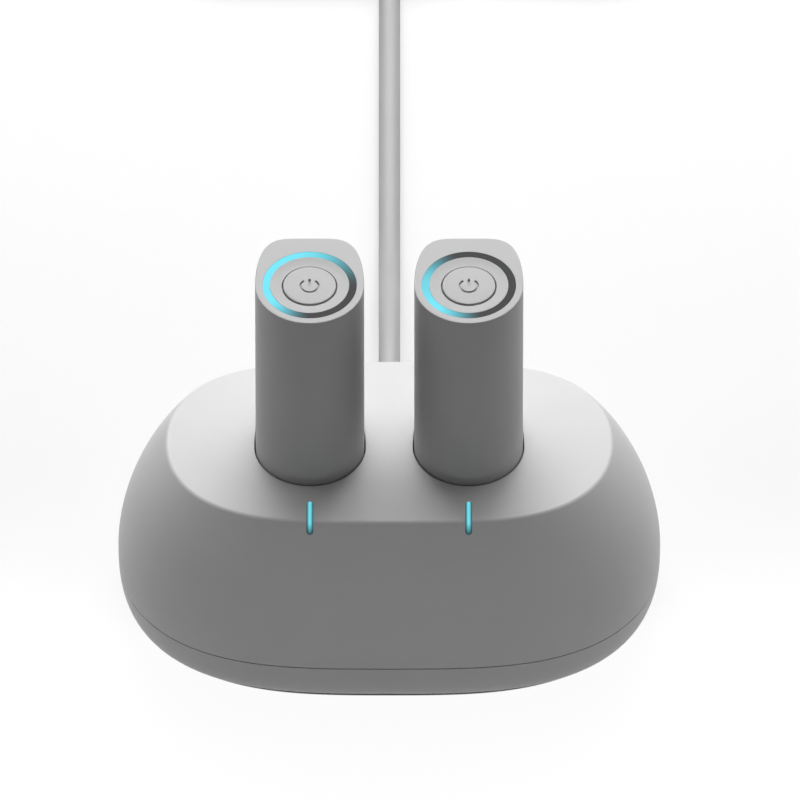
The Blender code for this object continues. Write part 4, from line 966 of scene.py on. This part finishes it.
def make_button(side, finishes):
    """Makes a power button: a crowned cap with a skirt, a flange, a stem and the sunk power mark."""
    stem_bottom, face = levels_of(f"{side}_power_button")
    flange_top = levels_of(f"{side}_battery_case")[1] - DISH_DEPTH - BEZEL_THICKNESS - SEAT_GAP
    flange_bottom = flange_top - BUTTON_FLANGE
    flat = BUTTON_RADIUS - BUTTON_EDGE
    profile = [(0.0, face)]
    profile += [(flat * share, face - BUTTON_CROWN * share**2) for share in spread(0.0, 1.0, 8)[1:-1]]
    for turn in spread(0.0, pi / 2, 7):
        height = face - BUTTON_CROWN - BUTTON_EDGE * (1.0 - cos(turn))
        profile.append((flat + BUTTON_EDGE * sin(turn), height))
    inner = BUTTON_RADIUS - BUTTON_WALL
    profile += [
        (BUTTON_RADIUS, flange_top), (BUTTON_RADIUS + BUTTON_FLANGE, flange_top),
        (BUTTON_RADIUS + BUTTON_FLANGE, flange_bottom), (inner, flange_bottom),
        (inner, face - BUTTON_WALL), (STEM_RADIUS, face - BUTTON_WALL),
        (STEM_RADIUS, stem_bottom), (0.0, stem_bottom),
    ]
    button = turned_on_axis(side, "button_cap", profile)
    x, y, _, _ = bay_axis(side)
    combined(button, "DIFFERENCE", *power_mark(side, Vector((x, y - MARK_AHEAD)), face))
    dressed(button, finishes["battery"], 50)
    carried(button, f"{side}_button", "battery", f"{side}_power_button")


def make_feet(finishes):
    """Makes the rubber feet, with rounded lower edges and a shallow dish below."""
    for corner, (x, y) in zip(CORNERS, foot_places()):
        profile = filleted([
            (0.0, FOOT_TOP),
            (FOOT_RADIUS, FOOT_TOP, FOOT_EDGE / 3),
            (FOOT_RADIUS, 0.0, FOOT_EDGE),
            (FOOT_RADIUS * FOOT_DISH_OUTER, 0.0),
            (FOOT_RADIUS * FOOT_DISH_INNER, FOOT_DISH),
            (0.0, FOOT_DISH),
        ])
        foot = turned(f"pad_{corner}", profile, Matrix.Translation((x, y, 0.0)), 64)
        carried(dressed(foot, finishes["rubber"]), "dock", "rubber", f"foot_{corner}")


def eased(value, start, end):
    """Returns a smooth rise from 0 at start to 1 at end."""
    share = limited((value - start) / (end - start))
    return share * share * (3 - 2 * share)


def smoothed(route, step):
    """Returns close points on a smooth curve through a route's own points."""
    route = [Vector(point) for point in route]
    route = [2 * route[0] - route[1]] + route + [2 * route[-1] - route[-2]]
    points = []
    for before, start, end, after in zip(route, route[1:], route[2:], route[3:]):
        leave, arrive = (end - before) / 2, (after - start) / 2
        for share in spread(0.0, 1.0, max(3, round((end - start).length / step) + 1))[:-1]:
            square, cube = share**2, share**3
            from_start = start * (2 * cube - 3 * square + 1) + leave * (cube - 2 * square + share)
            points.append(from_start + end * (3 * square - 2 * cube) + arrive * (cube - square))
    return points + [route[-2]]


def coil_point(turn):
    """Returns the lead's centre in the coil, at an angle in degrees from where it arrives."""
    outer, middle, _ = COIL_RADII
    inwards = sum(eased(turn, start, start + CROSSOVER) for start in CROSSES_IN)
    outwards = sum(eased(turn, start, start + CROSSOVER) for start in CROSSES_OUT)
    radius = outer - (outer - middle) * (inwards - outwards)
    past_tie = (turn - TIE_TURN + 180) % 360 - 180
    lift = TIE_THICKNESS * exp(-((past_tie / TIE_SPREAD) ** 2) / 2)
    height = COIL_FLOOR + COIL_PITCH * eased(turn, *COIL_RISE) + lift
    angle = radians(turn)
    x, y = COIL_CENTRE
    return Vector((x + radius * cos(angle), y + radius * sin(angle), height))


def lead_points():
    """Returns the lead's centreline from the dock's plug through the coil to the far plug."""
    arrival = smoothed(CORD_ROUTE + [coil_point(0)], ROUTE_STEP)
    turns = [coil_point(turn) for turn in range(COIL_STEP, COIL_END, COIL_STEP)]
    return arrival + turns + smoothed([coil_point(COIL_END)] + TAIL_ROUTE, TAIL_STEP)


def make_plug(name, node, matrix, length, ribs, finishes):
    """Makes a plug about its own axis: barrel on top, then neck, grip and ribbed strain relief."""
    neck_bottom = PLUG_BODY + RELIEF_LENGTH - length
    grip_bottom = neck_bottom - PLUG_BODY
    tip = grip_bottom - RELIEF_LENGTH
    bore_bottom = BARREL_FLOOR - BARREL_LENGTH
    profile = filleted([
        (0.0, bore_bottom), (BARREL_BORE, bore_bottom),
        (BARREL_BORE, 0.0, BORE_ROUND), (BARREL_RADIUS, 0.0, BARREL_ROUND),
        (BARREL_RADIUS, -BARREL_LENGTH), (NECK_RADIUS, -BARREL_LENGTH, NECK_ROUND),
        (NECK_RADIUS, neck_bottom), (PLUG_RADIUS, neck_bottom, PLUG_EDGE),
        (PLUG_RADIUS, grip_bottom + PLUG_EDGE, PLUG_EDGE), (RELIEF_ROOT, grip_bottom, ROOT_ROUND),
        (RELIEF_TIP, tip, NECK_ROUND), (0.0, tip),
    ])
    plug = turned(name, profile, matrix, 64)
    carried(dressed(plug, finishes["lead"], 40), "dock", "lead", node)
    rings = grown(f"{name}_ribs", ribs, {"Finish": finishes["lead"]})
    rings.data.transform(matrix @ Matrix.Translation((0.0, 0.0, grip_bottom)))
    rings.data.shade_smooth()
    carried(rings, "dock", "lead")
    return plug, rings


def make_tie(finishes):
    """Makes the hook-and-loop tie: a flat band round the coil, with its end laid over it."""
    x, y = COIL_CENTRE
    near, far = y + COIL_RADII[2] - CORD_RADIUS, y + COIL_RADII[0] + CORD_RADIUS
    bottom, top = TIE_THICKNESS, COIL_FLOOR + COIL_PITCH + CORD_RADIUS + TIE_THICKNESS
    edge, hair = TIE_THICKNESS / 4, TIE_THICKNESS / 6
    section = [(-TIE_HALF, 0.0), (-TIE_HALF, TIE_THICKNESS - edge), (edge - TIE_HALF, TIE_THICKNESS)]
    section += [(-a, b) for a, b in reversed(section)]
    rings = []
    corners = [(far, bottom, -90), (far, top, 0), (near, top, 90), (near, bottom, 180)]
    for corner_y, corner_z, start in corners:
        inward_y = corner_y - copysign(TIE_CORNER, corner_y - (near + far) / 2)
        inward_z = corner_z - copysign(TIE_CORNER, corner_z - (bottom + top) / 2)
        for turn in spread(radians(start), radians(start + 90), 7):
            out = Vector((0.0, cos(turn), sin(turn)))
            spot = Vector((x, inward_y, inward_z)) + out * TIE_CORNER
            rings.append([spot + out * b + Vector((a, 0.0, 0.0)) for a, b in section])
    band = lofted("tie_band", rings, closed=True)
    start, end = near + TIE_CORNER, far - TIE_CORNER
    lap = [(start, 0.0), (start + 2 * hair, TIE_THICKNESS), (end, TIE_THICKNESS)]
    lap += [(end + 4 * hair, TIE_THICKNESS / 2), (end, 0.0)]
    base, half = top + TIE_THICKNESS - hair, TIE_HALF - 3 * hair
    flap = lofted("tie_flap", [[(x + a, b, base + c) for b, c in lap] for a in (-half, half)])
    combined(band, "UNION", flap)
    return carried(dressed(band, finishes["tape"]), "dock", "rubber", "coil_tie")


def make_lead(finishes):
    curve = bpy.data.curves.new("lead", "CURVE")
    curve.dimensions = "3D"
    curve.bevel_depth = CORD_RADIUS
    curve.bevel_resolution = 6
    curve.use_fill_caps = True
    points = lead_points()
    spline = curve.splines.new("POLY")
    spline.points.add(len(points) - 1)
    for target, point in zip(spline.points, points):
        target.co = (*point, 1.0)
    spline.use_smooth = True
    curve.materials.append(finishes["lead"])
    lead = carried(linked("lead", curve), "dock", "lead", "lead_cord", "lead_coil", "cord_tail")
    sum((b - a).length for a, b in zip(points, points[1:]))
    return lead


def finish_nodes(finishes):
    """Gives every frame node that stays in view, or inside, its finish."""
    looks = {
        "well": ("well",),
        "board": ("contact_board", "main_board", "button_board", "protection_board"),
        "black_plastic": ("contact_block", "power_inlet", "button_switch", "cell_holder"),
        "gold": ("contact_pin", "contact_pads"),
        "wire": ("wires",),
        "steel": ("cover_screw", "board_screw", "ballast_plate"),
        "cell_wrap": ("cell",),
        "battery": ("end_cap",),
    }
    places = {"left", "right", "front", "back"}
    for name, node in NODES.items():
        plain = "_".join(word for word in name.split("_") if word not in places and not word.isdigit())
        for look, parts in looks.items():
            if plain in parts and not node.hide_render:
                coat(node, finishes[look])


def make_camera():
    """Makes the camera at the photograph's angle, far off with a long lens."""
    data = bpy.data.cameras.new("camera")
    data.lens = LENS
    data.sensor_width = SENSOR
    distance = VIEW_WIDTH * LENS / SENSOR
    data.clip_start = distance / 20
    data.clip_end = distance * 2
    camera = linked("camera", data)
    towards = Vector((0.0, -cos(VIEW_TILT), sin(VIEW_TILT)))
    camera.location = Vector(VIEW_CENTRE) + towards * distance
    camera.rotation_euler = (pi / 2 - VIEW_TILT, 0.0, 0.0)
    bpy.context.scene.camera = camera


def make_lamps():
    """Makes the soft lamps round the dock, and a room that is seen white but gives no light."""
    for name, (place, target, width, height, watts) in LAMPS.items():
        data = bpy.data.lights.new(name, "AREA")
        data.shape = "RECTANGLE"
        data.size = width
        data.size_y = height
        data.energy = watts
        lamp = linked(name, data)
        lamp.location = place
        lamp.rotation_euler = (Vector(place) - Vector(target)).to_track_quat("Z", "Y").to_euler()
        lamp.visible_camera = False
    world = bpy.data.worlds.new("room")
    bpy.context.scene.world = world
    world.use_nodes = True
    tree = world.node_tree
    feed(tree, tree.nodes["Background"], {"Color": (1.0, 1.0, 1.0, 1.0), "Strength": seen_directly(tree)})


def seen_directly(tree):
    """Returns 1 on rays from the camera, from a reflection or through glass, and 0 on others."""
    path = add(tree, "ShaderNodeLightPath")
    kinds = ("Camera", "Glossy", "Transmission")
    camera, glossy, through = [Figure(tree, path.outputs[f"Is {kind} Ray"]) for kind in kinds]
    return limited(camera + glossy + through)


def make_floor():
    """Makes the pale floor: white where it is seen, with the dock's soft shadow near it and a painted shadow
    that dims its glow round the housing's foot.
    """
    bm = bmesh.new()
    bmesh.ops.create_grid(bm, x_segments=1, y_segments=1, size=FLOOR_HALF)
    floor = shaped("floor", bm)
    material = bpy.data.materials.new("pale_floor")
    material.use_nodes = True
    tree = material.node_tree
    tree.nodes.remove(tree.nodes["Principled BSDF"])
    place = object_place(tree)
    away = add(tree, "ShaderNodeVectorMath", {0: place}, operation="LENGTH").outputs["Value"]
    far = mapped(tree, away, *FLOOR_WHITENS)
    across, deep, _ = axes(tree, place)
    # Painted shadow: the floor's glow is dimmed inside the housing's outline at its foot, grown by a reach
    reach = wall_offset(HOUSING, FOOT_STAND) + PAINTED_SHADOW_REACH
    within = outline_depth(HOUSING, FOOT_STAND, reach, across) - abs(deep)
    under = mapped(tree, within, 0.0, PAINTED_SHADOW_BLUR)
    behind = mapped(tree, deep, *FLOOR_TURNS)
    shade, light = [behind * (back - front) + front for front, back in zip(FLOOR_AHEAD, FLOOR_BEHIND)]
    matt = add(tree, "ShaderNodeBsdfDiffuse", {"Color": shade})
    glow = add(tree, "ShaderNodeEmission", {"Strength": light * (under * -PAINTED_SHADOW_DEPTH + 1.0)})
    near = add(tree, "ShaderNodeAddShader", {0: matt, 1: glow})
    white = add(tree, "ShaderNodeEmission", {"Strength": 1.0})
    seen = add(tree, "ShaderNodeMixShader", {0: far, 1: near, 2: white})
    bounce = add(tree, "ShaderNodeBsdfDiffuse", {"Color": FLOOR_BOUNCE})
    mixed = add(tree, "ShaderNodeMixShader", {0: seen_directly(tree), 1: bounce, 2: seen})
    feed(tree, tree.nodes["Material Output"], {"Surface": mixed})
    floor.data.materials.append(material)


def main():
    """Dresses the frame, lights it and places the camera."""
    finishes = make_finishes()
    wall = housing_tree()
    make_upper_housing(wall, finishes)
    make_lower_housing(wall, finishes)
    for side in SIDES:
        make_light_bar(side, finishes)
        make_case(side, finishes)
        make_ring(side, finishes)
        make_bezel(side, finishes)
        make_button(side, finishes)
    make_feet(finishes)
    ribs = rib_tree()
    low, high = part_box("lead_plug")
    place = Matrix.Translation((0.0, low[1], (low[2] + high[2]) / 2)) @ Matrix.Rotation(pi / 2, 4, "X")
    pieces = list(make_plug("dock_plug", "lead_plug", place, high[1] - low[1], ribs, finishes))
    low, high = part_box("supply_plug")
    place = Matrix.Translation((high[0], *TAIL_ROUTE[-1][1:])) @ Matrix.Rotation(pi / 2, 4, "Y")
    pieces += make_plug("far_plug", "supply_plug", place, high[0] - low[0], ribs, finishes)
    pieces.append(make_tie(finishes))
    make_lead(finishes)
    finish_nodes(finishes)
    make_floor()
    make_lamps()
    make_camera()
    bpy.context.scene.view_settings.view_transform = "Standard"


main()
